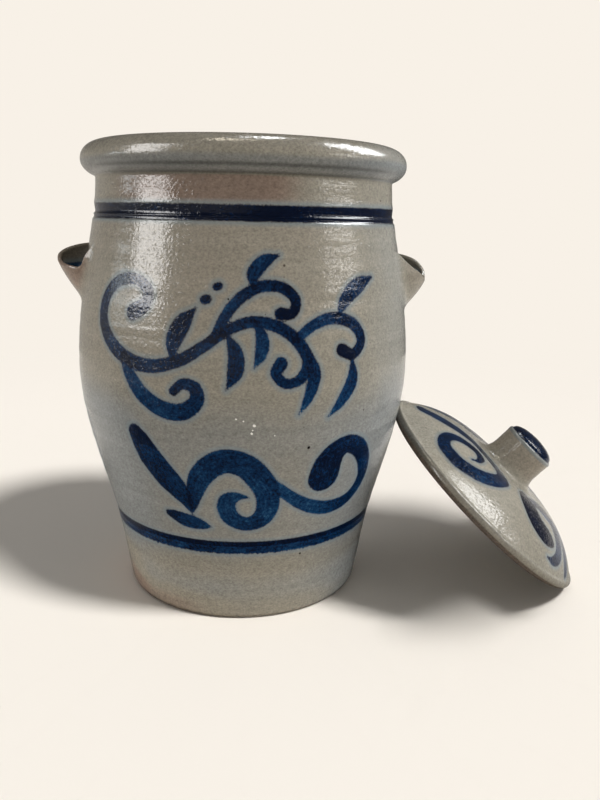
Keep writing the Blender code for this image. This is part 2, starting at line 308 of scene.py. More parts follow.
@dataclass
class CobaltField:
    """What the brush left at each vertex: depth inside a stroke, load, and place in the stroke."""

    points: Array
    normals: Array
    depth: Array = field(init=False)
    load: Array = field(init=False)
    brush: Array = field(init=False)

    OUTSIDE = -12.0
    REACH = 9.0
    THINNEST = 0.2
    OVERLAP_LOAD = 0.22
    PAINTED = 0.3
    BAND_RADIUS = 95.0
    STREAK_STEP = 7.3
    BATCH = 4000

    def __post_init__(self) -> None:
        """Start with a bare surface."""
        self.depth = np.full(len(self.points), self.OUTSIDE)
        self.load = np.full(len(self.points), 0.5)
        self.brush = np.zeros((len(self.points), 3))

    def cover(self, part: Any, depth: Array, load: Any, brush: Array) -> None:
        """Take over the vertices where this paint lies deeper than what is there.

        Args:
            part: Which vertices the paint may reach, as an index.
            depth: How deep each lies inside the paint, in mm.
            load: How loaded the brush was.
            brush: Place in the stroke.
        """
        win = depth > self.depth[part]
        self.load[part] = np.where(win, load, self.load[part])
        self.brush[part] = np.where(win[:, None], brush, self.brush[part])
        self.depth[part] = np.where(win, depth, self.depth[part])

    def lay(self, stroke: Stroke, place: Placer, number: int) -> None:
        """Lay one stroke on the surface.

        Args:
            stroke: The stroke.
            place: Turns two arrays of surface coordinates into points in metres.
            number: The stroke's own number, which gives it its own streaks.
        """
        rows = stroke.samples()
        spine = place(rows[:, 0], rows[:, 1]) / MM
        width = np.maximum(rows[:, 2], self.THINNEST)
        tangent = np.gradient(spine, axis=0)
        tangent /= np.linalg.norm(tangent, axis=1)[:, None] + 1e-9
        length = running_length(spine)
        margin = width.max() + self.REACH
        here = self.points / MM
        near = np.all((here > spine.min(axis=0) - margin) & (here < spine.max(axis=0) + margin), axis=1)
        near = np.flatnonzero(near)
        if not len(near):
            return
        for part in np.array_split(near, max(1, len(near) // self.BATCH)):
            inside = width - np.linalg.norm(here[part][:, None, :] - spine, axis=2)
            best = inside.argmax(axis=1)
            depth = inside[np.arange(len(part)), best]
            offset = here[part] - spine[best]
            across = np.einsum("ij,ij->i", offset, np.cross(self.normals[part], tangent[best]))
            along = length[best] + np.einsum("ij,ij->i", offset, tangent[best])
            load = stroke.load_start + (stroke.load_end - stroke.load_start) * length[best] / length[-1]
            twice = (self.depth[part] > self.PAINTED) & (depth > 0.0)
            brush = np.column_stack((along, across, np.full(len(part), self.STREAK_STEP * number)))
            self.cover(part, depth, load, brush)
            self.load[part] += np.where(twice, self.OVERLAP_LOAD, 0.0)

    def band(self, height_mm: Array, low: float, high: float, load: float, number: int) -> None:
        """Lay a painted band round the axis between two heights in mm."""
        off = height_mm - (low + high) / 2.0
        around = np.arctan2(self.points[:, 0], -self.points[:, 1]) * self.BAND_RADIUS
        brush = np.column_stack((around, off, np.full(len(off), self.STREAK_STEP * number)))
        self.cover(slice(None), (high - low) / 2.0 - np.abs(off), load, brush)

    def store(self, obj: Object) -> None:
        """Store the field on a piece."""
        set_field(obj, "cobalt", np.clip(self.depth, self.OUTSIDE, 14.0))
        set_field(obj, "load", self.load)
        set_field(obj, "brush", self.brush)


# The scroll round the foot of the front, from its leaf to its last curl: angle, height, half width
FOOT_SCROLL = (
    Stroke(((-36.1, 120.2, 5.5), (-34.4, 115.2, 7.2), (-32.1, 107.8, 8.3), (-29.1, 100.4, 8.5), (-25.8, 93.4, 8),
        (-23, 87.8, 6.6), (-20.9, 82.5, 4.8), (-19.7, 77.5, 2.8), (-19, 73.4, 0.8)), 0.9, 0.6),
    Stroke(((-18.9, 73.5, 0.9), (-18.1, 79, 2.8), (-17, 87.5, 5), (-14.8, 96.8, 6.6), (-10.5, 105.2, 7.4),
        (-5.4, 108.8, 7.6), (0.3, 105.8, 7.6), (4.5, 98.3, 7.7), (7.5, 89.6, 7.3), (8.2, 80.9, 6.8),
        (7.4, 74.5, 6.4), (4.9, 69.6, 5.6), (0.5, 67.6, 4.9), (-3.9, 70.6, 5.3), (-6.1, 76.5, 5.5),
        (-5.9, 82.9, 5.2), (-3.7, 85.7, 3.8), (-0.9, 86.1, 1.9), (1.7, 85.2, 0.5)), 0.7, 0.55),
    Stroke(((27.9, 95.4, 10.6), (28.4, 102.6, 9.8), (31, 109.9, 7.6), (36, 113.3, 6), (41.8, 108.4, 6),
        (46, 99, 5.6), (47.6, 90, 5), (46.6, 82.6, 4.6), (43.2, 76.2, 4.4), (38.6, 73.2, 4.6),
        (32, 72.7, 4.9), (26.2, 75, 4.7), (20.7, 79.1, 4.3), (16, 84.4, 3.9), (11.6, 90.5, 3.6),
        (8.1, 95.5, 3)), 0.95, 0.5),
    Stroke(((-28.7, 70.9, 2.2), (-25.7, 69.6, 4), (-22.3, 67.8, 4.9), (-18.8, 66.8, 4.7), (-15.5, 65.7, 3.2),
        (-12.3, 64.7, 0.6)), 0.75, 0.6),
)

# The vine across the belly: its stem, tendrils, blades, leaves and berries
BELLY_VINE = (
    Stroke(((-36.1, 187.4, 4.7), (-31.6, 192.3, 3.9), (-30.9, 199.7, 3.5), (-36, 204.9, 3.2), (-43.6, 203, 3.5),
        (-49.2, 193.5, 4), (-49.8, 180.7, 4.4), (-44.7, 169, 4.5), (-36.4, 161.5, 4.3), (-27.5, 160.1, 3.9),
        (-19, 164.6, 3.5), (-11.8, 172.6, 3.2), (-4.9, 181.3, 3.1), (2.6, 185.6, 3.2), (10.2, 182.4, 3.4),
        (15.9, 174.4, 3.5), (18.6, 164.1, 3.4), (16.4, 155.2, 3.1), (11.9, 152.9, 2.9), (8.9, 158.4, 3.1),
        (10.4, 163.6, 3.8)), 0.9, 0.7),
    Stroke(((-9.5, 175.4, 2.2), (-6.7, 185.3, 2.9), (-2.7, 195.6, 3.1), (3.5, 202.9, 3.2), (10.4, 203.4, 3.2),
        (15, 197.2, 3.1), (14.2, 190, 2.9), (10.5, 189.6, 3.5)), 0.6, 1),
    Stroke(((-39, 163.2, 3.1), (-36.4, 153.3, 4.2), (-31.6, 143.3, 4.9), (-25.1, 136.9, 5.1), (-18.6, 136.4, 4.9),
        (-14.2, 142.6, 4.3), (-14.4, 149.6, 3.8), (-18.1, 151.9, 3.1), (-21.2, 147.6, 2.7)), 0.5, 0.8),
    Stroke(((15, 176, 2.5), (20.8, 183.5, 3.1), (27.8, 186.6, 3.4), (35, 182.6, 3.6), (38.2, 173.4, 3.5),
        (34.6, 166.2, 3.2), (30.3, 169.1, 3.9)), 0.6, 1),
    Stroke(((29.3, 187.5, 1), (32.4, 195.8, 3.9), (37.9, 202.8, 4.7), (45.3, 207.2, 1.2)), 0.6, 0.9),
    Stroke(((19.6, 169.3, 0.9), (20.9, 157.4, 3.8), (19.1, 145.5, 3.2), (16.1, 135.2, 0.6)), 0.8, 0.5),
    Stroke(((34.2, 164.1, 1.2), (34.2, 151.8, 4.2), (30.6, 141.2, 3.5), (25.9, 132.4, 0.7)), 0.8, 0.5),
    Stroke(((-21.5, 163.7, 0.9), (-21.3, 173.7, 4.5), (-18.7, 183.4, 4.9), (-14.6, 191.9, 0.9)), 0.7, 0.9),
    Stroke(((-5.5, 179.2, 0.8), (-2.9, 170, 4), (-2.8, 159.5, 4.3), (-5.4, 149.8, 0.8)), 0.8, 0.6),
    Stroke(((2.6, 186.6, 0.8), (4.9, 177.3, 3.5), (4.6, 169, 3.4), (2.6, 161.7, 0.7)), 0.8, 0.6),
    Stroke(((2, 202.8, 0.8), (2.6, 210.4, 3.8), (5.9, 216.5, 3.6), (10.3, 219.6, 0.8)), 0.7, 0.9),
    Stroke(((-12.2, 196.2, 2.5), (-11.3, 196.7, 2.6)), 0.9, 0.9),
    Stroke(((-8.7, 203, 2.1), (-7.8, 203.5, 2.2)), 0.9, 0.9),
)

# The scroll on the back, whose first curl shows at the left edge of the front
BACK_SCROLL = (
    Stroke(((-76, 130, 2), (-70, 119, 3.8), (-67.8, 106, 4.4), (-69, 92, 4.6), (-74, 79, 4.8),
        (-86, 70, 5.2), (-98, 72, 5.6), (-106, 82, 5.8), (-106, 95, 6), (-98, 101, 7.6)),
        0.6, 0.95),
    Stroke(((-76, 130, 2), (-88, 133, 4), (-100, 130, 5.5), (-112, 121, 6.4), (-124, 106, 6.8),
        (-134, 90, 6.4), (-146, 80, 5.8), (-158, 82, 5.6), (-165, 92, 5.8), (-163, 104, 6.4),
        (-155, 108, 7.4)), 0.6, 0.9),
    Stroke(((-150, 78, 3), (-166, 70, 5), (-180, 78, 6.2), (-192, 96, 7), (-204, 110, 7.2),
        (-218, 112, 6.6), (-228, 102, 6), (-230, 88, 5.6), (-222, 78, 5.4), (-212, 82, 6.6)),
        0.55, 0.9),
    Stroke(((-236, 74, 1), (-244, 84, 6), (-252, 98, 8.2), (-259, 112, 5)), 0.6, 0.9),
)

# The lid's two curls beside the knob, and their likes on its far side
LID_SCROLL = (
    Stroke(((-33.4, -44.8, 1), (-29.1, -42, 1.8), (-27.5, -35, 3.4), (-30, -30, 4), (-34.5, -28, 4.2),
        (-40.5, -27.5, 4.2), (-46.5, -28.5, 4.4), (-51.2, -31.8, 4.4), (-53.4, -37.5, 4.4), (-52.2, -44.2, 4.8),
        (-47.6, -49.6, 5.4), (-40.8, -54.4, 5.7), (-33, -56, 5.8), (-25.4, -55.4, 5.9), (-18, -51.8, 5.8),
        (-11.8, -45.6, 5.4), (-8.7, -38.8, 5.4), (-10.8, -31.5, 5), (-15.5, -26.5, 4.8), (-22, -20.5, 4.8),
        (-30.2, -14, 5.2), (-41.6, -11.5, 5.6), (-52.5, -9.6, 5.8), (-61.4, -5.2, 5.4), (-68.1, 0.2, 4.4),
        (-70.6, 7.9, 2.2)), 0.8, 0.7),
    Stroke(((-66, 21, 2), (-61.5, 19.4, 4.6), (-56.4, 18.2, 6), (-48.3, 18.4, 6.6), (-37.4, 21.5, 6.4),
        (-28.5, 24.5, 3.4)), 0.45, 0.4),
    Stroke(((14.8, -27.5, 5), (15.6, -34.5, 8.6), (18.9, -42.8, 10), (23.8, -47.9, 10.4), (30.2, -48.8, 9.8),
        (35.4, -47.6, 7.8), (39.4, -46.8, 4.6)), 1.25, 1.25),
    Stroke(((20, -27.5, 4), (27.5, -19.5, 5.2), (35.9, -17.5, 5.8), (42.8, -22.3, 6), (48.2, -31, 5.6),
        (50.6, -42, 4.6), (49.4, -51.2, 4), (44.9, -58.4, 2.8), (39.3, -61.6, 0.8)), 0.75, 0.8),
    Stroke(((50.5, -14.5, 2.4), (57, -18.8, 4.6), (61, -29.1, 5), (63.6, -39.2, 4), (64.2, -46, 1.6)),
        0.6, 0.7),
)


def turned_over(strokes: tuple[Stroke, ...]) -> tuple[Stroke, ...]:
    """Give strokes of the lid's plan turned by half a turn about its axis."""
    return tuple(replace(stroke, knots=tuple((-x, -y, width) for x, y, width in stroke.knots)) for stroke in strokes)


# Node trees


class Board:
    """A node tree, with short calls for the nodes that the finishes use."""

    def __init__(self, tree: NodeTree) -> None:
        """Take the tree that the nodes go into."""
        self.tree = tree

    def node(self, kind: str, inputs: dict[Any, Any] | None = None, **settings: Any) -> Node:
        """Add a node.

        Args:
            kind: Blender's name of the node type.
            inputs: Value or source socket for each input, by name or number.
            settings: The node's own properties.

        Returns:
            The new node.
        """
        node = self.tree.nodes.new(kind)
        for name, value in settings.items():
            setattr(node, name, value)
        for name, value in (inputs or {}).items():
            self.feed(node.inputs[name], value)
        return node

    def feed(self, socket: NodeSocket, value: Any) -> None:
        """Link a socket to another, or set its value; a colour's alpha is 1."""
        if isinstance(value, NodeSocket):
            self.tree.links.new(value, socket)
        else:
            socket.default_value = (*value, 1.0) if socket.type == "RGBA" else value

    def math(self, operation: str, a: Any, b: Any = 0.0, c: Any = 0.0, clamp: bool = False) -> NodeSocket:
        """Add a Math node and give its result."""
        return self.node("ShaderNodeMath", {0: a, 1: b, 2: c}, operation=operation, use_clamp=clamp).outputs[0]

    def times(self, a: Any, b: Any) -> NodeSocket:
        """Multiply two values."""
        return self.math("MULTIPLY", a, b)

    def add(self, a: Any, share: Any, base: Any) -> NodeSocket:
        """Add a share of a value to a base."""
        return self.math("MULTIPLY_ADD", a, share, base)

    def ease(self, value: Any, low: float, high: float, start: float = 0.0, end: float = 1.0,
             kind: str = "SMOOTHSTEP") -> NodeSocket:
        """Map a value from low..high to start..end, smoothly or as the kind says."""
        inputs = {"Value": value, "From Min": low, "From Max": high, "To Min": start, "To Max": end}
        return self.node("ShaderNodeMapRange", inputs, interpolation_type=kind).outputs["Result"]

    def span(self, value: Any, low: float, high: float, start: float, end: float) -> NodeSocket:
        """Map a value evenly from low..high to start..end."""
        return self.ease(value, low, high, start, end, "LINEAR")

    def blend(self, share: Any, a: Any, b: Any) -> NodeSocket:
        """Mix two colours by a share."""
        return self.node("ShaderNodeMix", {0: share, 6: a, 7: b}, data_type="RGBA").outputs[2]

    def vector(self, operation: str, a: Any, b: Any = (0.0, 0.0, 0.0)) -> Node:
        """Add a Vector Math node."""
        return self.node("ShaderNodeVectorMath", {0: a, 1: b}, operation=operation)

    def scaled(self, vector: Any, *by: float) -> NodeSocket:
        """Scale a vector along each axis."""
        return self.vector("MULTIPLY", vector, by).outputs[0]

    def noise(self, vector: Any, scale: float, detail: float = 2.0, rough: float = 0.5,
              distortion: float = 0.0) -> NodeSocket:
        """Add a noise texture and give its grey value."""
        inputs = {"Vector": vector, "Scale": scale, "Detail": detail, "Roughness": rough, "Distortion": distortion}
        return self.node("ShaderNodeTexNoise", inputs).outputs["Fac"]

    def ripple(self, vector: Any, scale: float, *kind: float) -> NodeSocket:
        """Add a noise texture and give its grey value less a half, so that it lies about zero."""
        return self.math("SUBTRACT", self.noise(vector, scale, *kind), 0.5)

    def field(self, name: str, output: str = "Fac") -> NodeSocket:
        """Read a number or a vector stored at the vertices."""
        return self.node("ShaderNodeAttribute", attribute_name=name).outputs[output]

    def group(self, tree: NodeTree, **inputs: Any) -> Any:
        """Place a shared group with its own values and give its outputs."""
        return self.node("ShaderNodeGroup", inputs, node_tree=tree).outputs


def new_material(name: str) -> tuple[Material, Board, Node]:
    """Start a material, and give it with a board on its tree and its shader."""
    material = bpy.data.materials.new(name)
    material.use_nodes = True
    return material, Board(material.node_tree), material.node_tree.nodes["Principled BSDF"]


def new_group(name: str, inputs: dict[Socket, tuple[str, ...]], outputs: dict[Socket, tuple[str, ...]]
              ) -> tuple[Board, Any, Any]:
    """Start a shader node group.

    Args:
        name: Name of the group.
        inputs: Names of the inputs of each kind.
        outputs: Names of the outputs of each kind.

    Returns:
        A board on the group's tree, the sockets that bring its inputs and those that take its outputs.
    """
    tree = bpy.data.node_groups.new(name, "ShaderNodeTree")
    for way, kinds in (("INPUT", inputs), ("OUTPUT", outputs)):
        for kind, labels in kinds.items():
            for label in labels:
                tree.interface.new_socket(label, in_out=way, socket_type=kind.value)
    board = Board(tree)
    return board, board.node("NodeGroupInput").outputs, board.node("NodeGroupOutput").inputs


def clay_tone_group() -> NodeTree:
    """Build the fired body's colour: warm and cool clouds, turning streaks and fine grain, scaled by a lightness that
    also holds painted light and shade.
    """
    board, given, result = new_group("clay_tone", {
        Socket.VECTOR: ("Position",), Socket.COLOUR: ("Body", "Warm", "Cool"),
        Socket.VALUE: ("Warmth", "Lift", "Cloudiness", "Grain"),
    }, {Socket.COLOUR: ("Colour",)})
    position = given["Position"]
    cloud = board.times(board.ripple(position, 17.0, 4.0, 0.55, 0.4), given["Cloudiness"])
    drift = board.add(cloud, 2.4, given["Warmth"])
    colour = board.blend(board.ease(drift, 0.0, 1.0), given["Body"], given["Warm"])
    colour = board.blend(board.ease(drift, 0.0, -1.0), colour, given["Cool"])
    streak = board.noise(board.scaled(position, 9.0, 9.0, 210.0), 1.0, 3.0, 0.6)
    grain = board.ripple(board.scaled(position, 760.0, 760.0, 1000.0), 1.0, 2.0, 0.75)
    grain = board.add(grain, 2.2, board.ripple(position, 380.0, 2.0, 0.6))
    grain = board.add(grain, given["Grain"], 1.0)
    gain = board.times(board.times(board.span(streak, 0.3, 0.7, 0.93, 1.07), grain), given["Lift"])
    shade = board.node("ShaderNodeVectorMath", {0: colour, "Scale": gain}, operation="SCALE")
    board.feed(result["Colour"], shade.outputs[0])
    return board.tree


def glaze_relief_group() -> NodeTree:
    """Build the height of the salt glaze in metres: orange peel with pits over fine throwing lines."""
    board, given, result = new_group("glaze_relief", {
        Socket.VECTOR: ("Position",), Socket.VALUE: ("Peel", "Pits", "Lines"),
    }, {Socket.VALUE: ("Height", "Pit Mask")})
    position = given["Position"]
    peel = board.times(board.noise(position, 540.0, 2.0, 0.5, 0.3), given["Peel"])
    pits = board.ease(board.noise(position, 640.0, 3.0, 0.6, 0.4), 0.55, 0.70)
    lines = board.noise(board.scaled(position, 22.0, 22.0, 300.0), 1.0, 3.0, 0.55)
    height = board.add(lines, given["Lines"], peel)
    board.feed(result["Height"], board.math("SUBTRACT", height, board.times(pits, given["Pits"])))
    board.feed(result["Pit Mask"], pits)
    return board.tree


# Colour of the fired cobalt from a thin to a thick coat
COBALT_STOPS = (
    (0.0, (0.050, 0.115, 0.190)), (0.25, (0.015, 0.062, 0.132)), (0.5, (0.0030, 0.027, 0.080)),
    (0.75, (0.0010, 0.0115, 0.040)), (1.0, (0.0005, 0.0034, 0.0145)),
)


def cobalt_group() -> NodeTree:
    """Build brushed cobalt: where it covers, its bleeding edge and its colour by thickness."""
    board, given, result = new_group("brushed_cobalt", {
        Socket.VECTOR: ("Position", "Brush"), Socket.VALUE: ("Depth", "Load", "Feather"),
    }, {Socket.VALUE: ("Mask", "Halo"), Socket.COLOUR: ("Colour",)})
    position = given["Position"]
    edge = board.add(board.ripple(position, 1150.0, 2.0, 0.8), 1.9, given["Depth"])
    edge = board.add(board.ripple(position, 150.0, 1.0), 0.5, edge)
    hairs = board.ripple(board.scaled(position, 700.0, 700.0, 60.0), 1.0, 2.0, 0.6)
    edge = board.add(board.times(hairs, given["Feather"]), 2.6, edge)
    mask = board.ease(edge, -0.55, 0.55)
    streak = board.ripple(board.scaled(given["Brush"], 0.07, 0.95, 1.0), 1.0, 3.0, 0.65, 0.3)
    thick = board.add(streak, 0.65, given["Load"])
    thick = board.add(board.ripple(position, 560.0, 3.0, 0.8), 1.5, thick)
    thick = board.add(board.ripple(position, 60.0), 0.8, thick)
    thick = board.math("ADD", thick, board.ease(edge, 0.0, 1.6, -0.10, 0.0), clamp=True)
    ramp_node = board.node("ShaderNodeValToRGB", {"Fac": thick})
    elements = ramp_node.color_ramp.elements
    while len(elements) < len(COBALT_STOPS):
        elements.new(0.5)
    for element, (place, colour) in zip(elements, COBALT_STOPS):
        element.position = place
        element.color = (*colour, 1.0)
    board.feed(result["Mask"], mask)
    board.feed(result["Halo"], board.times(board.ease(edge, -3.4, -0.1), board.math("SUBTRACT", 1.0, mask)))
    board.feed(result["Colour"], ramp_node.outputs["Color"])
    return board.tree


def speck_group() -> NodeTree:
    """Build scattered specks: a few spots in the cells of a grid of set size."""
    board, given, result = new_group("iron_specks", {
        Socket.VECTOR: ("Position",), Socket.VALUE: ("Cells", "Share", "Spread"),
    }, {Socket.VALUE: ("Mask",)})
    cells = board.node("ShaderNodeTexVoronoi", {"Vector": given["Position"], "Scale": given["Cells"]}).outputs
    luck = board.node("ShaderNodeSeparateColor", {"Color": cells["Color"]}).outputs
    size = board.times(given["Spread"], board.math("ADD", luck["Green"], 0.35))
    dot = board.math("DIVIDE", board.math("SUBTRACT", size, cells["Distance"]), board.times(size, 0.5), clamp=True)
    board.feed(result["Mask"], board.times(dot, board.math("LESS_THAN", luck["Red"], given["Share"])))
    return board.tree


def mark_group() -> NodeTree:
    """Build one small flaw in the glaze: an uneven spot."""
    board, given, result = new_group("glaze_mark", {
        Socket.VECTOR: ("Position", "Centre"), Socket.VALUE: ("Size",),
    }, {Socket.VALUE: ("Spot",)})
    position = given["Position"]
    away = board.vector("LENGTH", board.vector("SUBTRACT", position, given["Centre"]).outputs[0]).outputs["Value"]
    share = board.math("DIVIDE", away, given["Size"])
    share = board.add(board.ripple(position, 520.0, 2.0, 0.6), 1.1, share)
    board.feed(result["Spot"], board.ease(share, 0.35, 0.6, 1.0, 0.0))
    return board.tree


@dataclass(frozen=True)
class Groups:
    """The node groups that every finish shares."""

    mark: NodeTree
    clay: NodeTree
    relief: NodeTree
    cobalt: NodeTree
    specks: NodeTree


@dataclass(frozen=True)
class Stoneware:
    """The finish of one piece: salt-glazed grey stoneware with cobalt brushwork.

    Flaws are small spots, each a place in mm and a size in mm.
    """

    body: Triple = (0.262, 0.238, 0.190)
    warm: Triple = (0.238, 0.174, 0.134)
    cool: Triple = (0.214, 0.220, 0.214)
    bare: Triple = (0.165, 0.122, 0.088)
    bare_dark: Triple = (0.060, 0.046, 0.035)
    pit: Triple = (0.10, 0.085, 0.065)
    halo: Triple = (0.175, 0.225, 0.250)
    speck: Triple = (0.035, 0.022, 0.016)
    burnt: Triple = (0.012, 0.009, 0.008)
    chip: Triple = (0.80, 0.78, 0.72)
    pit_shade: float = 0.16
    halo_shade: float = 0.60
    speck_shade: float = 0.85
    cloudiness: float = 0.24
    grain: float = 0.48
    peel: float = 0.00018
    pits: float = 0.00006
    lines: float = 0.00013
    speck_cells: float = 105.0
    speck_share: float = 0.16
    speck_spread: float = 0.075
    gloss_rough: float = 0.085
    pit_rough: float = 0.04
    cobalt_rough: float = 0.05
    bare_rough: float = 0.75
    specular: float = 0.42
    burnt_flaws: tuple[tuple[float, ...], ...] = ()
    chip_flaws: tuple[tuple[float, ...], ...] = ()

    def material(self, name: str, groups: Groups) -> Material:
        """Make the material.

        Args:
            name: Name of the material.
            groups: The shared node groups.

        Returns:
            The new material.
        """
        material, board, shader = new_material(name)
        position = board.field("turning", "Vector")
        # The tone field's warmth and lightness also carry painted light, painted shade and painted reflection.
        tone = board.node("ShaderNodeSeparateXYZ", {0: board.field("tone", "Vector")}).outputs
        clay = board.group(groups.clay, Position=position, Body=self.body, Warm=self.warm, Cool=self.cool,
                           Warmth=tone["X"], Lift=tone["Y"], Cloudiness=self.cloudiness, Grain=self.grain)
        relief = board.group(groups.relief, Position=position, Peel=self.peel, Pits=self.pits, Lines=self.lines)
        cobalt = board.group(groups.cobalt, Position=position, Depth=board.field("cobalt"), Load=board.field("load"),
                             Brush=board.field("brush", "Vector"), Feather=board.field("feather"))
        specks = board.group(groups.specks, Position=position, Cells=self.speck_cells, Share=self.speck_share,
                             Spread=self.speck_spread)
        grit = board.ease(board.noise(position, 1100.0, 2.0, 0.7), 0.38, 0.62)
        colour = board.blend(tone["Z"], clay["Colour"], board.blend(grit, self.bare_dark, self.bare))
        for mask, share, tint in ((relief["Pit Mask"], self.pit_shade, self.pit),
                                  (cobalt["Halo"], self.halo_shade, self.halo),
                                  (specks["Mask"], self.speck_shade, self.speck)):
            colour = board.blend(board.times(mask, share), colour, tint)
        for flaws, tint in ((self.burnt_flaws, self.burnt), (self.chip_flaws, self.chip)):
            for *centre, size in flaws:
                place = tuple(value * MM for value in centre)
                mark = board.group(groups.mark, Position=position, Centre=place, Size=size * MM)
                colour = board.blend(mark["Spot"], colour, tint)
        rough = board.span(tone["Z"], 0.0, 1.0, self.gloss_rough, self.bare_rough)
        rough = board.add(relief["Pit Mask"], self.pit_rough, rough)
        bump = board.node("ShaderNodeBump", {"Strength": 1.0, "Distance": 1.0, "Height": relief["Height"]})
        board.feed(shader.inputs["Base Color"], board.blend(cobalt["Mask"], colour, cobalt["Colour"]))
        board.feed(shader.inputs["Roughness"], board.add(cobalt["Mask"], self.cobalt_rough, rough))
        board.feed(shader.inputs["Normal"], bump.outputs["Normal"])
        board.feed(shader.inputs["Specular IOR Level"], self.specular)
        return material


# The crock


# Small flaws of the front, each a place in mm and a size: burnt specks and shiny pale chips
BURNT_FLAWS = (
    (35.3, -95.8, 115.3, 1.5), (33.4, -77.0, 43.1, 1.6), (-8.7, -100.3, 197.1, 1.1), (32.1, -98.6, 128.0, 0.9),
)
CHIP_FLAWS = (
    (-4.6, -104.7, 133.7, 1.1), (5.1, -104.3, 130.0, 1.5), (3.8, -103.8, 125.6, 1.5), (16.2, -102.4, 124.2, 0.9),
    (-0.8, -104.6, 132.6, 0.8), (4.2, -104.0, 127.4, 0.8),
)

# The painted bands: from and to a height in mm, and how loaded the brush was
BANDS = ((236.1, 244.7, 1.1), (46.4, 53.2, 0.68), (49.6, 55.0, 1.0))

# Where the vertices that take no paint are put for the brush, out of its reach
OFF_METRES = 10.0
OFF_MM = -99.0


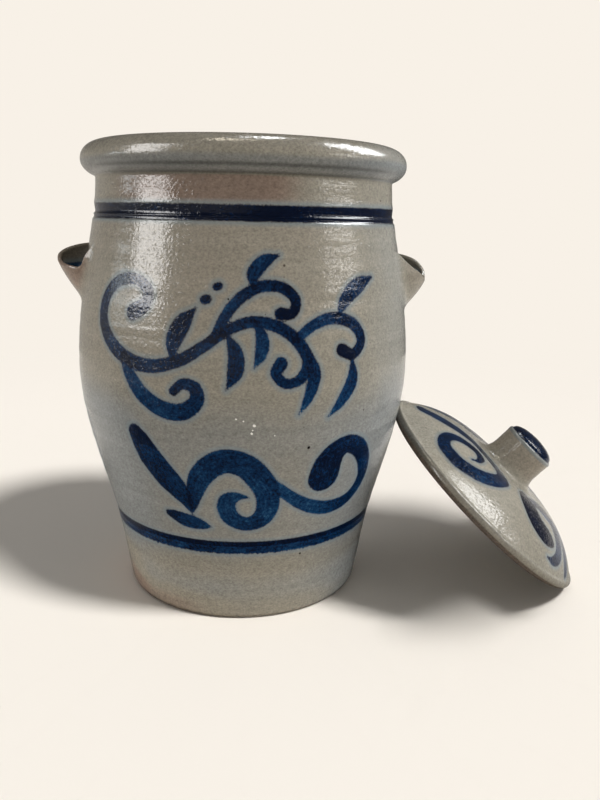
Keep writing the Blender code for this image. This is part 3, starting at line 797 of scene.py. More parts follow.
@dataclass
class Crock:
    """The turned crock: wall, banded neck, rolled rim, gallery and inside."""

    foot_radius: float = 76.6 * MM
    foot_flare: float = 0.20
    foot_ease: float = 2.0 * MM
    lower_band: Triple = (51.6 * MM, 85.8 * MM, 0.24)
    belly: Triple = (147.0 * MM, 105.5 * MM, 0.0)
    upper_band: Triple = (240.6 * MM, 93.1 * MM, -0.165)
    neck_radius: float = 91.2 * MM
    neck_flare: float = -0.05
    lower_cut: tuple[Pair, ...] = (
        (-4.4, 0.0), (-3.4, 0.14), (-1.6, 0.16), (-0.6, 0.02), (0.2, 0.06), (1.4, 0.34), (2.6, 0.46), (3.6, 0.0),
    )
    upper_cut: tuple[Pair, ...] = (
        (-5.0, 0.0), (-4.3, 0.50), (-3.4, 0.70), (-2.7, 0.58), (-2.2, 0.30), (-1.8, 0.34), (-1.3, 0.88), (-0.8, 1.02),
        (1.0, 0.68), (3.0, 0.28), (4.0, 0.10), (4.5, 0.0),
    )
    rim_centre: Pair = (87.4 * MM, 269.9 * MM)
    rim_round: float = 12.3 * MM
    rim_tall: float = 20.2 * MM
    rim_ease: float = 1.2 * MM
    throat_radius: float = 76.3 * MM
    gallery_radius: float = 85.1 * MM
    ledge_height: float = 272.0 * MM
    wall_thick: float = 7.5 * MM
    base: float = 10.0 * MM
    floor_fillet: float = 12.0 * MM
    neck_thickening: float = 24.0 * MM
    line_step: float = 0.12 * MM
    soft_reach: float = 2.4 * MM
    soft_passes: int = 60
    rows_outside: float = 1.5 * MM
    rows_inside: float = 4.0 * MM
    rows_grooves: float = 0.36 * MM
    rows_rim: float = 0.85 * MM
    rows_flat: float = 7.0 * MM
    grooves_reach: float = 5.5 * MM
    segments: int = 512
    finish: Stoneware = field(default_factory=lambda: Stoneware(burnt_flaws=BURNT_FLAWS, chip_flaws=CHIP_FLAWS))

    def crease_angle(self) -> float:
        """Give the angle on the roll's oval of the crease between the neck and the roll."""
        return -math.acos((self.neck_radius - self.rim_centre[0]) / self.rim_round)

    def crease_height(self) -> float:
        """Give the height of that crease."""
        return self.rim_centre[1] + self.rim_tall / 2 * math.sin(self.crease_angle())

    def wall(self, height: Array) -> Array:
        """Give the outer radius of the wall without its grooves at each height."""
        stations = (
            (0.0, self.foot_radius, self.foot_flare), self.lower_band, self.belly, self.upper_band,
            (self.crease_height(), self.neck_radius, self.neck_flare),
        )
        height = np.clip(np.asarray(height, float), 0.0, stations[-1][0])
        radius = np.full(height.shape, self.neck_radius)
        for low, high in reversed(list(zip(stations, stations[1:]))):
            radius = np.where(height <= high[0], hermite(low, high, height), radius)
        return radius

    def grooves(self, height: Array) -> Array:
        """Give how far the turned grooves cut in at each height."""
        depth = np.zeros_like(height)
        for band, cut in ((self.lower_band[0], self.lower_cut), (self.upper_band[0], self.upper_cut)):
            offset = (height - band) / MM
            near = (offset > cut[0][0]) & (offset < cut[-1][0])
            depth += np.where(near, smooth_line(cut, offset), 0.0) * MM
        return depth

    def inner_wall(self, height: Array) -> Array:
        """Give the inner radius of the wall at each height."""
        start = self.ledge_height - self.rim_ease - self.neck_thickening
        blend = ramp(height, start, start + self.neck_thickening)
        plain = self.wall(height) - self.wall_thick
        return plain + (self.throat_radius - plain) * blend

    def section(self) -> Array:
        """Give the section: out over the inner floor, up the inside, over the rim and down to the foot."""
        side_foot = self.base + self.floor_fillet
        fillet = float(self.inner_wall(np.array([side_foot]))[0]) - self.floor_fillet
        rise = np.linspace(side_foot, self.ledge_height - self.rim_ease, 260)[1:]
        inner_angle = math.acos((self.gallery_radius + self.rim_ease - self.rim_centre[0]) / self.rim_round)
        roll = oval_arc(self.rim_centre, self.rim_round, self.rim_tall / 2, inner_angle, self.crease_angle(), 90)
        crease = self.crease_height()
        fall = np.linspace(crease, self.foot_ease, 1400)
        ease = self.foot_ease
        gallery_top = (self.gallery_radius, roll[0, 1] - self.rim_ease)
        points = np.vstack((
            [[0.0, self.base]],
            oval_arc((fillet, side_foot), self.floor_fillet, self.floor_fillet, -math.pi / 2, 0.0, 24),
            np.column_stack((self.inner_wall(rise), rise)),
            [[self.throat_radius + self.rim_ease, self.ledge_height], [self.gallery_radius, self.ledge_height]],
            [gallery_top],
            roll[:-1],
            np.column_stack((self.wall(fall) - self.grooves(fall), fall)),
            oval_arc((self.foot_radius - ease, ease), ease, ease, 0.0, -math.pi / 2, 10),
            [[0.0, 0.0]],
        ))
        corners = [(self.neck_radius, crease), (self.throat_radius, self.ledge_height),
                   (self.gallery_radius, self.ledge_height), gallery_top]
        line = softened(dense(points, self.line_step), corners, self.soft_reach, self.soft_passes)
        radius, height = line.T
        outside = (radius > self.wall(height) - 1.0 * MM) & (height > ease)
        spacing = np.where(outside, self.rows_outside, self.rows_inside)
        for band in (self.lower_band[0], self.upper_band[0]):
            spacing = np.where(outside & (np.abs(height - band) < self.grooves_reach), self.rows_grooves, spacing)
        spacing = np.where(height > crease - 3.0 * MM, self.rows_rim, spacing)
        play = 0.02 * MM
        flat = (height < play) | (height < self.base + play) & ~outside & (radius < fillet)
        return rows_by_spacing(line, np.where(flat, self.rows_flat, spacing))

    def place(self, angle: Array, height_mm: Array) -> Array:
        """Turn angles from the front and heights into points on the wall."""
        turn = np.radians(angle)
        radius = self.wall(height_mm * MM)
        return np.column_stack((radius * np.sin(turn), -radius * np.cos(turn), height_mm * MM))

    def build(self, groups: Groups) -> Object:
        """Build and dress the crock.

        Args:
            groups: The shared node groups.

        Returns:
            The crock.
        """
        points, faces = turned_grid(self.section(), self.segments)
        radius, angle = round_axis(points)
        height = points[:, 2].copy()
        outside = radius > self.wall(height) - 1.5 * MM
        ring = self.throwing_rings(height, angle) * outside * ramp(height, 8.0 * MM, 20.0 * MM)
        out_way = np.column_stack((np.sin(angle), -np.cos(angle), np.zeros_like(angle)))
        points += ring[:, None] * out_way
        crock = new_mesh("crock_shell", points, faces)
        set_field(crock, "turning", points)
        cobalt = CobaltField(np.where(outside[:, None], points, OFF_METRES), out_way)
        for number, stroke in enumerate(FOOT_SCROLL + BELLY_VINE + BACK_SCROLL):
            cobalt.lay(stroke, self.place, number)
        for number, band in enumerate(BANDS):
            cobalt.band(np.where(outside, height / MM, OFF_MM), *band, 50 + number)
        cobalt.store(crock)
        set_field(crock, "feather", np.where(outside & (height < 50.5 * MM), 1.0, 0.0))
        set_field(crock, "tone", self.tones_and_painted_light(height / MM, angle, radius, outside))
        crock.data.materials.append(self.finish.material("crock_salt_glaze", groups))
        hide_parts("crock_body")
        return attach(crock, "crock")

    @staticmethod
    def throwing_rings(height: Array, angle: Array) -> Array:
        """Give the small waves that the potter's fingers left in the wall."""
        h = height / MM
        wave = 0.045 * np.sin(h / 1.75 + 0.5 * np.sin(angle)) + 0.04 * np.sin(h / 1.13 + 1.3) * np.sin(h / 23.0)
        wave += 0.05 * np.sin(h / 2.9 + 0.9 * np.sin(angle)) * np.sin(h / 31.0 + 0.7)
        return wave * MM

    def tones_and_painted_light(self, h: Array, angle: Array, radius: Array, outside: Array) -> Array:
        """Give warmth, lightness and bareness at each vertex; the lightness and warmth also hold painted shade, painted
        light and painted reflection.

        Args:
            h: Height in mm.
            angle: Angle from the front in radians.
            radius: Distance from the axis.
            outside: Whether the vertex is on the outside.

        Returns:
            Rows of warmth, lift and bareness.
        """
        side = np.sin(angle)
        front = np.cos(angle)
        shade_towards_front = ramp(front, 0.25, 0.75)
        neck = ramp(h, 243.0, 250.0) * ramp(h, 260.0, 258.5) * outside
        roll = ramp(h, 259.5, 261.0) * ramp(h, 272.0, 267.0) * outside
        roll_stripe_shade = np.exp(-((h - 264.4) / 1.0) ** 2) * roll
        crease = np.exp(-((h - 260.2) / 0.9) ** 2) * outside
        # Painted reflection: low down on the left side, away from the front, the clay is tinted cool for the pale light
        # that the glaze mirrors there at a grazing angle.
        flank_cool_reflection = ramp(-side, 0.35, 0.95) * ramp(front, -0.6, 0.2) * ramp(h, 170.0, 120.0)
        flank_cool_reflection *= ramp(h, 22.0, 50.0)
        foot = ramp(h, 40.0, 14.0) * outside
        brown = ramp(front, 0.45, 0.95) * ramp(side, 0.45, 0.05)
        warmth = 0.10 + neck * (1.15 * brown - 0.1) - 0.75 * roll - 0.75 * flank_cool_reflection
        base = ramp(h, 22.0, 6.0) * outside
        upper = ramp(h, 160.0, 190.0) * ramp(h, 240.0, 232.0) * ramp(front, 0.7, 0.95)
        lower = ramp(h, 30.0, 60.0) * ramp(h, 160.0, 120.0)
        blush = ramp(-side, 0.70, 0.92) * ramp(h, 42.0, 22.0) * outside
        warmth += 0.75 * base * ramp(-side, -0.1, 0.6) - 0.66 * foot - 0.62 * lower + 0.12 * upper
        warmth += 0.80 * blush + 0.40 * base - 0.20 * ramp(h, 16.0, 30.0) * ramp(h, 60.0, 46.0)
        # Painted reflection: the right side is tinted cooler for the cool light it mirrors, and less so on the neck.
        warmth -= 0.56 * ramp(side, 0.30, 1.0) * (1.0 - 0.8 * neck)
        # Painted shade: the rim roll, a dark line on it and the crease under it are darkened towards the front, where
        # the roll hangs over and shade falls.
        lift_and_painted_light = 1.0 - 0.20 * neck * brown - (0.22 * roll + 0.42 * roll_stripe_shade) * shade_towards_front - 0.5 * crease * shade_towards_front
        # Painted reflection: the foot is lightened at both sides, where the glaze mirrors the floor; the whole foot is
        # also a little lighter.
        lift_and_painted_light += 0.20 * foot * ramp(np.abs(side), 0.45, 0.95) - 0.04 * lower + 0.12 * foot
        # Painted light: low down the left side is lightened and the right side a little darkened; the right side is
        # lightened below the neck, with a painted sheen on its upper part.
        low_side_light = ramp(h, 170.0, 110.0) * ramp(np.abs(side), 0.45, 0.85)
        lift_and_painted_light += low_side_light * np.where(side < 0.0, 0.15, -0.04) + 0.10 * ramp(side, 0.5, 0.95) * (1.0 - neck)
        lift_and_painted_light += 0.05 * upper + 0.13 * ramp(side, 0.72, 0.97) * ramp(h, 150.0, 185.0) * outside
        lift_and_painted_light = np.where(outside, lift_and_painted_light, 0.85)
        under = (h < 1.2) & (radius < self.foot_radius - self.foot_ease)
        bareness = np.where(under, 1.0, 0.35 * ramp(h, 3.5, 1.0))
        return np.column_stack((warmth, lift_and_painted_light, bareness))


# The lugs


LEFT_LIP = (
    (-1.5, 1.0), (-1.05, 0.0), (-0.97, -4.0), (-0.88, -10.0), (-0.78, -12.4), (-0.6, -12.2), (-0.4, -11.2),
    (-0.2, -9.6), (0.0, -8.0), (0.2, -6.0), (0.5, -3.2), (0.8, -0.8), (1.0, 0.0), (1.5, 1.0),
)
RIGHT_LIP = (
    (-1.5, 1.0), (-1.0, 0.0), (-0.9, -3.5), (-0.8, -7.0), (-0.6, -11.5), (-0.4, -14.6), (-0.2, -15.6),
    (0.0, -14.0), (0.2, -10.0), (0.5, -4.6), (0.8, -1.5), (1.0, 0.0), (1.5, 1.0),
)


@dataclass
class Lug:
    """One pocket lug, pressed onto the wall, with a thin lip that dips towards the front.

    Places along the lug run from -1 at its front end to 1 at its rear end. The lip line holds
    places and drops below the lug's top in mm.
    """

    side: Side
    angle: float
    top: float
    full: float
    fall: float
    power: float
    reach: float
    lip: float
    lip_line: tuple[Pair, ...]
    crock: Crock
    half_width: float = 28.0 * MM
    flatness: float = 2.8
    pocket: float = 12.0 * MM
    pocket_half: float = 24.0 * MM
    end_rise: float = 5.0 * MM
    softness: Pair = (0.8 * MM, 4.0 * MM)
    sunk: float = 0.15 * MM
    patch: float = 42.0 * MM
    columns: int = 169
    finish: Stoneware = field(default_factory=Stoneware)

    def _stand(self, height: Array, place: Array) -> Array:
        """Give how far the lug's outside stands off the wall at each height and place along it."""
        fall = np.maximum((self.full - height) / self.fall, 0.0)
        raw = self.reach * (1.0 - fall ** self.power - np.abs(place) ** self.flatness)
        toe, side = self.softness
        soft = toe + (side - toe) * np.minimum(np.abs(place), 1.0) ** 1.5
        return soft * np.logaddexp(0.0, raw / soft) - self.sunk

    def _rows(self, sideways: Array) -> list[tuple[Array, Array, float]]:
        """Give the rows of the skin, from below the lug over its lip and down into its pocket.

        Args:
            sideways: Distance of each column from the lug's middle.

        Returns:
            For each row, how far it stands off the wall, its heights, and its part of the section:
            0 for the outside, 0.5 for the lip, 1 for the pocket's side and 2 for its bottom.
        """
        place = sideways / self.half_width
        crest = self.top + smooth_line(self.lip_line, place) * MM
        edge = 0.5 * self.lip * np.tanh(np.maximum(self._stand(crest, place), 0.0) / self.lip)
        lowest = self.full - 1.5 * self.fall
        rows = []
        for share in np.linspace(1.0, 0.0, 60):
            height = (crest - edge) * (1.0 - share) + lowest * share
            rows.append((self._stand(height, place), height, 0.0))
        outer = rows[-1][0]
        for bend in np.linspace(0.0, math.pi, 13)[1:]:
            rows.append((outer - edge * (1.0 - math.cos(bend)), crest - edge + edge * math.sin(bend), 0.5))
        inner = outer - 2.0 * edge
        depth = self.pocket * np.sqrt(1.0 - np.minimum(np.abs(sideways / self.pocket_half), 1.0) ** 4)
        for share in np.linspace(0.0, 1.0, 20)[1:]:
            height = crest - edge - depth * share
            clear = np.maximum(self._stand(height, place) - self.lip, -0.3 * MM)
            rows.append((np.minimum(inner * (1.0 - 0.03 * share - 0.27 * share ** 3), clear), height, 1.0))
        side, floor, _ = rows[-1]
        rise = self.end_rise * np.tanh(np.maximum(inner, 0.0) / self.end_rise)
        for share in np.linspace(0.0, 1.0, 15)[1:]:
            sag = -2.4 * MM * math.sin(share * math.pi * 0.75) * depth / self.pocket
            rows.append((side * (1.0 - share) - 1.0 * MM * share, floor + sag + rise * share ** 2, 2.0))
        return rows

    def build(self, name: str, node: str, groups: Groups) -> Object:
        """Build and dress the lug.

        Args:
            name: Name of the piece.
            node: The CAD node that it stands for.
            groups: The shared node groups.

        Returns:
            The lug.
        """
        bearing = math.radians(self.angle)
        out_way = np.array([self.side.value * math.sin(bearing), -math.cos(bearing), 0.0])
        rear_way = np.array([self.side.value * math.cos(bearing), math.sin(bearing), 0.0])
        sideways = np.linspace(-self.patch, self.patch, self.columns)
        grid, stands, parts = [], [], []
        for stand, height, part in self._rows(sideways):
            wall = np.sqrt(self.crock.wall(height) ** 2 - sideways ** 2)
            row = wall[:, None] * out_way + sideways[:, None] * rear_way
            rings = self.crock.throwing_rings(height, round_axis(row)[1])
            away = stand + rings * ramp(stand, 4.0 * MM, 0.0)
            grid.append(row + away[:, None] * out_way + height[:, None] * [0.0, 0.0, 1.0])
            stands.append(stand)
            parts.append(np.full(len(sideways), part))
        points = np.concatenate(grid)
        faces = grid_faces(len(grid), len(sideways), closed=False)
        if self.side is Side.LEFT:
            faces = faces[:, ::-1]
        lug = new_mesh(name, points, faces)
        set_field(lug, "turning", points)
        self._paint(lug, points, np.concatenate(stands), np.concatenate(parts))
        lug.data.materials.append(self.finish.material(name + "_salt_glaze", groups))
        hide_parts(node)
        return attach(lug, "crock")

    def _paint(self, lug: Object, points: Array, stand: Array, part: Array) -> None:
        """Store cobalt in the pocket and the clay's tone, which fades into the wall's; the pocket's inside gets painted
        shade.

        Args:
            lug: The lug.
            points: Its vertices.
            stand: How far each stands off the wall.
            part: Each vertex's part of the section, as the rows give it.
        """
        below = (self.top - points[:, 2]) / MM
        depth = np.where((part >= 1.0) & (stand > 0.0), (below - 12.5) * 0.8, -12.0)
        set_field(lug, "cobalt", np.clip(depth, -12.0, 10.0))
        set_field(lug, "load", np.full(len(points), 0.6))
        set_field(lug, "brush", points * 1000.0)
        set_field(lug, "feather", np.zeros(len(points)))
        radius, angle = round_axis(points)
        wall = self.crock.tones_and_painted_light(points[:, 2] / MM, angle, radius, np.full(len(points), True))
        front = ramp(-points[:, 1], 0.0, 30.0 * MM)
        warm = 0.25 + 0.65 * front * (self.side is Side.LEFT)
        # Painted shade: the pocket's inside is darkened, as shade falls in the hollow.
        own = np.column_stack((warm, np.where(part >= 1.0, 0.6, 0.97), np.zeros_like(front)))
        blend = ramp(stand, 0.2 * MM, 6.0 * MM)[:, None]
        set_field(lug, "tone", wall * (1.0 - blend) + own * blend)


# The lid


@dataclass
class Lid:
    """The turned domed lid with its luted knob, in one skin, leaning beside the crock."""

    seat_centre: Triple = (0.161896, -0.007352, 0.053999)
    tilt: float = 42.0
    heading: float = -11.0
    radius: float = 83.9 * MM
    edge: float = 6.5 * MM
    rise: float = 18.8 * MM
    dome_power: float = 2.6
    wall: float = 7.0 * MM
    seat_step: float = 1.2 * MM
    seat_inset: float = 3.2 * MM
    seat_width: float = 8.0 * MM
    hollow_side: float = 4.0 * MM
    knob_foot: float = 21.8 * MM
    knob_foot_edge: float = 0.9 * MM
    knob_fillet: float = 9.0 * MM
    knob_waist: float = 18.0 * MM
    knob_top: float = 18.2 * MM
    knob_tall: float = 23.6 * MM
    knob_crown: float = 5.6 * MM
    knob_round: float = 1.6 * MM
    luted_gap: float = 0.3 * MM
    line_step: float = 0.12 * MM
    soft_reach: float = 3.2 * MM
    soft_passes: int = 90
    rows_above: float = 0.85 * MM
    rows_edge: float = 0.6 * MM
    rows_below: float = 2.5 * MM
    segments: int = 480
    finish: Stoneware = field(default_factory=Stoneware)

    def crest(self) -> float:
        """Give the height of the dome's flat middle above the seat."""
        return self.seat_step + self.edge + self.rise

    def dome(self, radius: Array) -> Array:
        """Give the height of the dome above the seat at each radius."""
        rim = self.radius - self.edge / 2
        share = np.clip((rim - radius) / (rim - self.knob_foot), 0.0, 1.0)
        return self.seat_step + self.edge + self.rise * (1.0 - (1.0 - share) ** self.dome_power)

    def section(self) -> Array:
        """Give the section: over the knob, out over the dome, round the edge and back underneath."""
        knob_base = self.crest() + self.luted_gap
        crown = self.knob_top - self.knob_round
        arc = np.linspace(0.0, math.pi / 2, 40)
        cap = np.column_stack((crown * np.sin(arc), knob_base + self.knob_tall + self.knob_crown * np.cos(arc)))
        turn = oval_arc((crown, knob_base + self.knob_tall - self.knob_round), self.knob_round, self.knob_round,
                        math.pi / 2, 0.0, 14)
        waist_height = self.knob_foot_edge + self.knob_fillet
        side = np.linspace(self.knob_tall - self.knob_round, waist_height, 40)[1:]
        flare = (self.knob_top - self.knob_waist) / (self.knob_tall - self.knob_round - waist_height) ** 2
        shaft = np.column_stack((self.knob_waist + flare * (side - waist_height) ** 2, knob_base + side))
        arc = np.linspace(0.0, math.pi / 2, 30)[1:]
        foot = np.column_stack((
            self.knob_waist + (self.knob_foot - self.knob_waist) * (1.0 - np.cos(arc)),
            knob_base + waist_height - self.knob_fillet * np.sin(arc),
        ))
        rim = self.radius - self.edge / 2
        out = np.linspace(self.knob_foot + 2.5 * MM, rim, 160)
        seat_outer = self.radius - self.seat_inset
        seat_inner = seat_outer - self.seat_width
        hollow = seat_inner - self.hollow_side
        under = -math.acos((seat_outer - rim) / (self.edge / 2))
        inward = np.linspace(hollow, 0.0, 60)
        points = np.vstack((
            cap[:-1], turn, shaft, foot, np.column_stack((out, self.dome(out)))[:-1],
            oval_arc((rim, self.seat_step + self.edge / 2), self.edge / 2, self.edge / 2, math.pi / 2, under, 30),
            [[seat_outer, 0.0], [seat_inner, 0.0]],
            np.column_stack((inward, self.dome(inward) - self.wall)),
        ))
        corners = [(self.knob_foot + 1.0 * MM, self.crest() + 0.6 * MM), (seat_outer, 0.0), (seat_inner, 0.0),
                   (hollow, float(self.dome(np.array([hollow]))[0]) - self.wall)]
        line = softened(dense(points, self.line_step), corners, self.soft_reach, self.soft_passes)
        above = line[:, 1] > self.dome(line[:, 0]) - 0.5 * MM
        near_edge = (line[:, 0] > rim - 1.0 * MM) & ~above
        spacing = np.where(above, self.rows_above, self.rows_below)
        return rows_by_spacing(line, np.where(near_edge, self.rows_edge, spacing))

    def place(self, x_mm: Array, y_mm: Array) -> Array:
        """Turn places in the lid's plan into points on its dome."""
        return np.column_stack((x_mm * MM, y_mm * MM, self.dome(np.hypot(x_mm, y_mm) * MM)))

    def build(self, groups: Groups) -> Object:
        """Build and dress the lid where it leans.

        Args:
            groups: The shared node groups.

        Returns:
            The lid.
        """
        points, faces = turned_grid(self.section(), self.segments)
        turn = Matrix.Rotation(math.radians(self.heading), 3, "Z") @ Matrix.Rotation(math.radians(self.tilt), 3, "Y")
        lid = new_mesh("lid_and_knob", points @ np.array(turn).T + np.array(self.seat_centre), faces)
        set_field(lid, "turning", points)
        radius, _ = round_axis(points)
        top = points[:, 2] > self.dome(radius) - 0.4 * MM
        cobalt = CobaltField(np.where(top[:, None], points, OFF_METRES), np.tile([0.0, 0.0, 1.0], (len(points), 1)))
        for number, stroke in enumerate(LID_SCROLL + turned_over(LID_SCROLL)):
            cobalt.lay(stroke, self.place, 20 + number)
        knob_height = points[:, 2] - (self.crest() + self.luted_gap)
        crown = knob_height > self.knob_tall - 3.0 * MM
        cap_depth = np.where(crown, (self.knob_top - 1.0 * MM - radius) / MM, cobalt.OUTSIDE)
        cobalt.cover(slice(None), cap_depth, 0.9, cobalt.brush)
        cobalt.store(lid)
        set_field(lid, "feather", np.zeros(len(points)))
        set_field(lid, "tone", self._tones_and_painted_light(points, radius, top, knob_height))
        lid.data.materials.append(self.finish.material("lid_salt_glaze", groups))
        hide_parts("lid", "lid_knob")
        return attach(lid, "lid")

    def _tones_and_painted_light(self, points: Array, radius: Array, top: Array, knob_height: Array) -> Array:
        """Give warmth, lightness and bareness at each vertex; the lightness holds painted light and painted shade.

        Args:
            points: The vertices.
            radius: Their distances from the axis.
            top: Whether each is on the upper side.
            knob_height: Their heights above the knob's foot.

        Returns:
            Rows of warmth, lift and bareness.
        """
        x, y, h = points.T / MM
        knob = ramp(knob_height / MM, 3.0, 8.0)
        far = ramp(-x, 55.0, 78.0) * ramp(y, -30.0, 0.0)
        # Painted light: the upper side is lighter towards the end that leans on the crock, more so at its far part, and
        # darker towards the lower end.
        lift_and_painted_light = np.where(top, 1.42 - 0.48 * ramp(x, -70.0, 60.0) + 0.06 * knob + 0.35 * far, 0.9)
        # Painted shade: the rounded edge at the end by the crock is darkened.
        lift_and_painted_light -= 0.50 * ramp(radius / MM, 82.0, 83.4) * ramp(x, -40.0, -72.0)
        bareness = np.where(top | (h > 3.6), 0.0, 1.0) * ramp(radius / MM, 60.0, 66.0)
        return np.column_stack((-0.14 + 0.44 * knob, lift_and_painted_light, bareness))


# Staging


@dataclass(frozen=True)
class Viewpoint:
    """The camera, at the photograph's place and angle."""

    place: Triple = (0.0, -0.48927, 0.23923)
    yaw: float = 4.349
    pitch: float = 13.796
    roll: float = 1.282
    focal_px: float = 746.8
    long_side_px: float = 800.0
    sensor: float = 36.0

    def build(self) -> Object:
        """Make the camera and set it as the scene's camera."""
        yaw, pitch, roll = (math.radians(value) for value in (self.yaw, self.pitch, self.roll))
        ahead = Vector((math.sin(yaw) * math.cos(pitch), math.cos(yaw) * math.cos(pitch), -math.sin(pitch)))
        right = Vector((math.cos(yaw), -math.sin(yaw), 0.0))
        up = right.cross(ahead)
        x_way = math.cos(roll) * right + math.sin(roll) * up
        y_way = -math.sin(roll) * right + math.cos(roll) * up
        data = bpy.data.cameras.new("camera")
        data.sensor_width = self.sensor
        data.lens = self.focal_px * self.sensor / self.long_side_px
        data.clip_start = 0.01
        camera = linked("camera", data)
        matrix = Matrix((x_way, y_way, -ahead)).transposed().to_4x4()
        matrix.translation = Vector(self.place)
        camera.matrix_world = matrix
        bpy.context.scene.camera = camera
        return camera


def aim(lamp: Object, azimuth: float, elevation: float) -> Vector:
    """Turn a lamp to shine from an azimuth (0 front, 90 right) and an elevation, and give the way to it."""
    az, el = math.radians(azimuth), math.radians(elevation)
    way = Vector((math.sin(az) * math.cos(el), -math.cos(az) * math.cos(el), math.sin(el)))
    lamp.rotation_euler = (-way).to_track_quat("-Z", "Y").to_euler()
    return way


@dataclass(frozen=True)
class Panel:
    """A soft studio lamp."""

    name: str
    azimuth: float
    elevation: float
    distance: float
    width: float
    height: float
    glow: float
    role: Role
    colour: Triple = (1.0, 0.97, 0.93)
    receivers: tuple[str, ...] = ("crock_shell", "lug_left", "lug_right", "lid_and_knob")

    MIDDLE = Vector((0.0, 0.0, 0.15))

    def build(self) -> Object:
        """Make the lamp."""
        data = bpy.data.lights.new(self.name, "AREA")
        data.shape = "RECTANGLE"
        data.size = self.width
        data.size_y = self.height
        data.energy = self.glow * math.pi * self.width * self.height
        data.color = self.colour
        lamp = linked(self.name, data)
        lamp.location = self.MIDDLE + aim(lamp, self.azimuth, self.elevation) * self.distance
        lamp.visible_diffuse = self.role is Role.FILL
        lamp.visible_glossy = self.role is Role.GLINT
        return lamp


@dataclass(frozen=True)
class ShadowSun:
    """A soft sun that gives its share of one floor layer's brightness and casts the object's shadow there."""

    name: str
    azimuth: float
    elevation: float
    spread: float
    share: float

    def build(self) -> Object:
        """Make the sun."""
        data = bpy.data.lights.new(self.name, "SUN")
        data.angle = math.radians(self.spread)
        data.energy = self.share * math.pi / math.sin(math.radians(self.elevation))
        sun = linked(self.name, data)
        aim(sun, self.azimuth, self.elevation)
        return sun


def light_only(lamp: Object, receivers: list[Object]) -> None:
    """Let a lamp light only some objects; all objects still cast shadows in it."""
    group = bpy.data.collections.new("lit_by_" + lamp.name)
    for obj in receivers:
        group.objects.link(obj)
    lamp.light_linking.receiver_collection = group


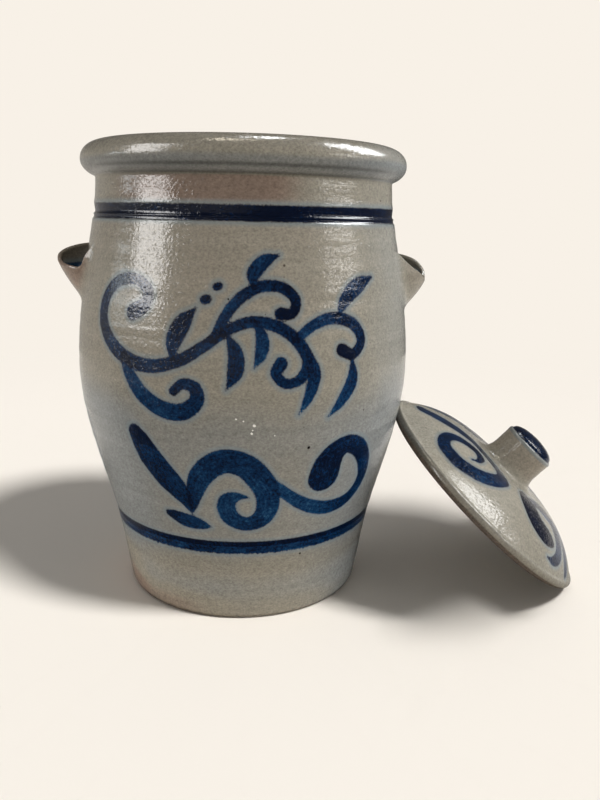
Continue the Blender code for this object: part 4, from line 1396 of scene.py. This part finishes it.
@dataclass(frozen=True)
class Stage:
    """The plain pale floor and the backdrop colour.

    The floor has a left and a right layer, one over the other. The left one gives way to the right
    one at a slanted seam, and comes back beyond the lid's tip. The mirror shares say how strongly
    the glaze shows the floor, in front and behind on each side, and the backdrop, low down on the
    left and elsewhere.
    """

    cream: Triple = (0.9387, 0.8796, 0.7991)
    radii: tuple[float, ...] = (0.95, 0.8, 0.3, 0.0001)
    near: float = 0.42
    far: float = 0.85
    seam: Pair = (-0.020, 0.032)
    seam_lean: float = 1.6
    lean_from: Pair = (-0.03, -0.055)
    seam_end: Pair = (0.186, 0.226)
    tip: float = -0.045
    ambient: float = 0.27
    floor_front: float = 0.06
    floor_back: dict[Side, float] = field(default_factory=lambda: {Side.LEFT: 0.70, Side.RIGHT: 0.22})
    back_mirror: Pair = (0.42, 0.09)

    def _floor_material(self, side: Side) -> Material:
        """Make the finish of one layer of the floor.

        It is plain paint near the object and even backdrop colour further out. The left layer lies
        on top and has fine grains of clear, more and more of them towards the seam.

        Args:
            side: The side that the layer's own sun lights.

        Returns:
            The new material.
        """
        material, board, shader = new_material("pale_floor_" + side.name.lower())
        for name, value in (("Base Color", self.cream), ("Roughness", 0.9), ("Specular IOR Level", 0.0)):
            board.feed(shader.inputs[name], value)
        place = board.node("ShaderNodeTexCoord").outputs["Object"]
        away = board.ease(board.vector("LENGTH", place).outputs["Value"], self.near, self.far)
        path = board.node("ShaderNodeLightPath").outputs
        seen = board.math("MAXIMUM", path["Is Camera Ray"], path["Is Glossy Ray"])
        glow = board.node("ShaderNodeEmission", {"Color": self.cream, "Strength": 1.0}).outputs[0]
        lit = board.node("ShaderNodeMixShader", {0: board.times(away, seen), 1: shader.outputs[0], 2: glow}).outputs[0]
        parts = board.node("ShaderNodeSeparateXYZ", {0: place}).outputs
        dim = board.ease(parts["Y"], -0.10, 0.06, 1.0 - self.floor_front, 1.0 - self.floor_back[side])
        surface = board.node("ShaderNodeMixShader", {0: board.times(path["Is Glossy Ray"], dim), 1: lit}).outputs[0]
        if side is Side.LEFT:
            start, end = self.lean_from
            lean = board.math("MINIMUM", board.math("SUBTRACT", parts["Y"], start), 0.0)
            along = board.add(board.math("MAXIMUM", lean, end), self.seam_lean, parts["X"])
            tip = board.math("MINIMUM", board.math("SUBTRACT", parts["Y"], self.tip), 0.0)
            beyond = board.ease(board.math("SUBTRACT", parts["X"], tip), *self.seam_end, 1.0, 0.0)
            grain = board.node("ShaderNodeTexWhiteNoise", {"Vector": place}, noise_dimensions="3D").outputs["Value"]
            clear = board.math("GREATER_THAN", board.times(board.ease(along, *self.seam), beyond), grain)
            clear = board.math("MAXIMUM", clear, board.node("ShaderNodeNewGeometry").outputs["Backfacing"])
            glass = board.node("ShaderNodeBsdfTransparent").outputs[0]
            surface = board.node("ShaderNodeMixShader", {0: clear, 1: surface, 2: glass}).outputs[0]
        board.feed(material.node_tree.nodes["Material Output"].inputs["Surface"], surface)
        return material

    def build_floor(self) -> dict[Side, Object]:
        """Make the two layers of the floor, each lit by its own sun."""
        layers = {}
        turn = np.linspace(0.0, 2.0 * math.pi, 65)
        x, y = -np.outer(self.radii, np.sin(turn)).ravel(), np.outer(self.radii, np.cos(turn)).ravel()
        for side, depth in ((Side.LEFT, 0.2 * MM), (Side.RIGHT, 0.4 * MM)):
            points = np.column_stack((x, y, np.full(len(x), -depth)))
            layer = new_mesh("floor_" + side.name.lower(), points, grid_faces(len(self.radii), len(turn), closed=False))
            layer.data.materials.append(self._floor_material(side))
            layer.visible_shadow = False
            layer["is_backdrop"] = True
            layers[side] = layer
        return layers

    def build_world(self) -> None:
        """Make the backdrop that the camera sees and the weak light from all round."""
        world = bpy.data.worlds.new("backdrop")
        world.use_nodes = True
        board = Board(world.node_tree)
        back = world.node_tree.nodes["Background"]
        path = board.node("ShaderNodeLightPath").outputs
        glossy = path["Is Glossy Ray"]
        seen = board.math("MAXIMUM", path["Is Camera Ray"], path["Is Transmission Ray"])
        seen = board.math("MAXIMUM", seen, glossy)
        strength = board.span(seen, 0.0, 1.0, self.ambient, 1.0)
        way = board.node("ShaderNodeSeparateXYZ", {0: board.node("ShaderNodeTexCoord").outputs["Generated"]}).outputs
        low_left = board.times(board.ease(way["Z"], 0.04, 0.30, 1.0, 0.0), board.ease(way["X"], -0.3, 0.3, 1.0, 0.0))
        low, high = self.back_mirror
        mirror = board.span(low_left, 0.0, 1.0, high, low)
        dimming = board.add(glossy, board.math("SUBTRACT", mirror, 1.0), 1.0)
        board.feed(back.inputs["Color"], board.blend(seen, (1.0, 1.0, 1.0), self.cream))
        board.feed(back.inputs["Strength"], board.times(strength, dimming))
        bpy.context.scene.world = world


COOL = (0.95, 0.985, 1.02)
FILL, GLINT = Role
LAMPS = (
    Panel("fill_left", -92, 12, 1.8, 1.6, 1.4, 2.1, FILL, COOL),
    Panel("fill_front", 0, 25, 2, 1.6, 1.4, 0.6, FILL),
    Panel("fill_right", 62, 15, 1.8, 1.4, 1.4, 2.7, FILL, COOL),
    Panel("fill_back_right", 110, 22, 1.8, 1.4, 1.4, 4, FILL, COOL),
    Panel("fill_top", 0, 88, 1.8, 1.6, 1.6, 0.8, FILL),
    Panel("window", -69.5, 25.5, 1.5, 0.68, 1.00, 11, GLINT, (1, 0.985, 0.97)),
    Panel("glint_left", -91.5, 7.5, 1.5, 0.36, 0.20, 4, GLINT, (0.85, 0.95, 1)),
    Panel("glint_lid", 85, 41, 2.5, 0.70, 1.40, 12.5, GLINT, (1, 0.99, 0.97), ("lid_and_knob",)),
    Panel("glint_rim", 102, 41, 2.5, 1.00, 1.60, 21, GLINT, (0.97, 0.99, 1), ("crock_shell", "lug_right")),
    Panel("glint_back", 162, 73, 1.8, 0.28, 0.44, 20, GLINT, (0.95, 0.98, 1)),
    Panel("glint_ceiling", -40, 81, 1.8, 0.46, 0.44, 12, GLINT, (1, 0.90, 0.72)),
    Panel("glint_right", 71, 15, 1.6, 0.80, 0.10, 10, GLINT),
)
SUNS = {
    Side.LEFT: ShadowSun("sun_for_left_floor", 56, 58.5, 11, 0.75),
    Side.RIGHT: ShadowSun("sun_for_right_floor", -83, 66.5, 14, 0.745),
}


def write_sizes(visual: Any) -> None:
    def plain(box: Any) -> list[list[float]]:
        """Give a box as lists of numbers."""
        return [[float(value) for value in corner] for corner in box]


def main() -> None:
    """Build the crock, its lugs and its lid, then the floor, the lamps and the camera."""
    logging.basicConfig(level=logging.INFO, format="%(name)s: %(message)s")
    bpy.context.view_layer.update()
    bpy.context.scene.view_settings.view_transform = "Standard"
    Viewpoint().build()
    groups = Groups(mark_group(), clay_tone_group(), glaze_relief_group(), cobalt_group(), speck_group())

    crock = Crock()
    pieces = [crock.build(groups)]
    left = Lug(Side.LEFT, angle=82.0, top=220.5 * MM, full=213.5 * MM, fall=25.8 * MM, power=1.25, reach=18.4 * MM,
               lip=2.4 * MM, lip_line=LEFT_LIP, crock=crock)
    right = Lug(Side.RIGHT, angle=87.0, top=218.0 * MM, full=206.5 * MM, fall=23.0 * MM, power=1.45, reach=18.0 * MM,
                lip=2.2 * MM, lip_line=RIGHT_LIP, crock=crock)
    pieces.append(left.build("lug_left", "handle_left", groups))
    pieces.append(right.build("lug_right", "handle_right", groups))
    pieces.append(Lid().build(groups))
    for piece in pieces:
        LOG.info("%s: %d faces", piece.name, len(piece.data.polygons))

    stage = Stage()
    floors = stage.build_floor()
    stage.build_world()
    for lamp in LAMPS:
        light_only(lamp.build(), [piece for piece in pieces if piece.name in lamp.receivers])
    for side, sun in SUNS.items():
        light_only(sun.build(), [floors[side]])
    write_sizes(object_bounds())


if __name__ == "__main__":
    main()
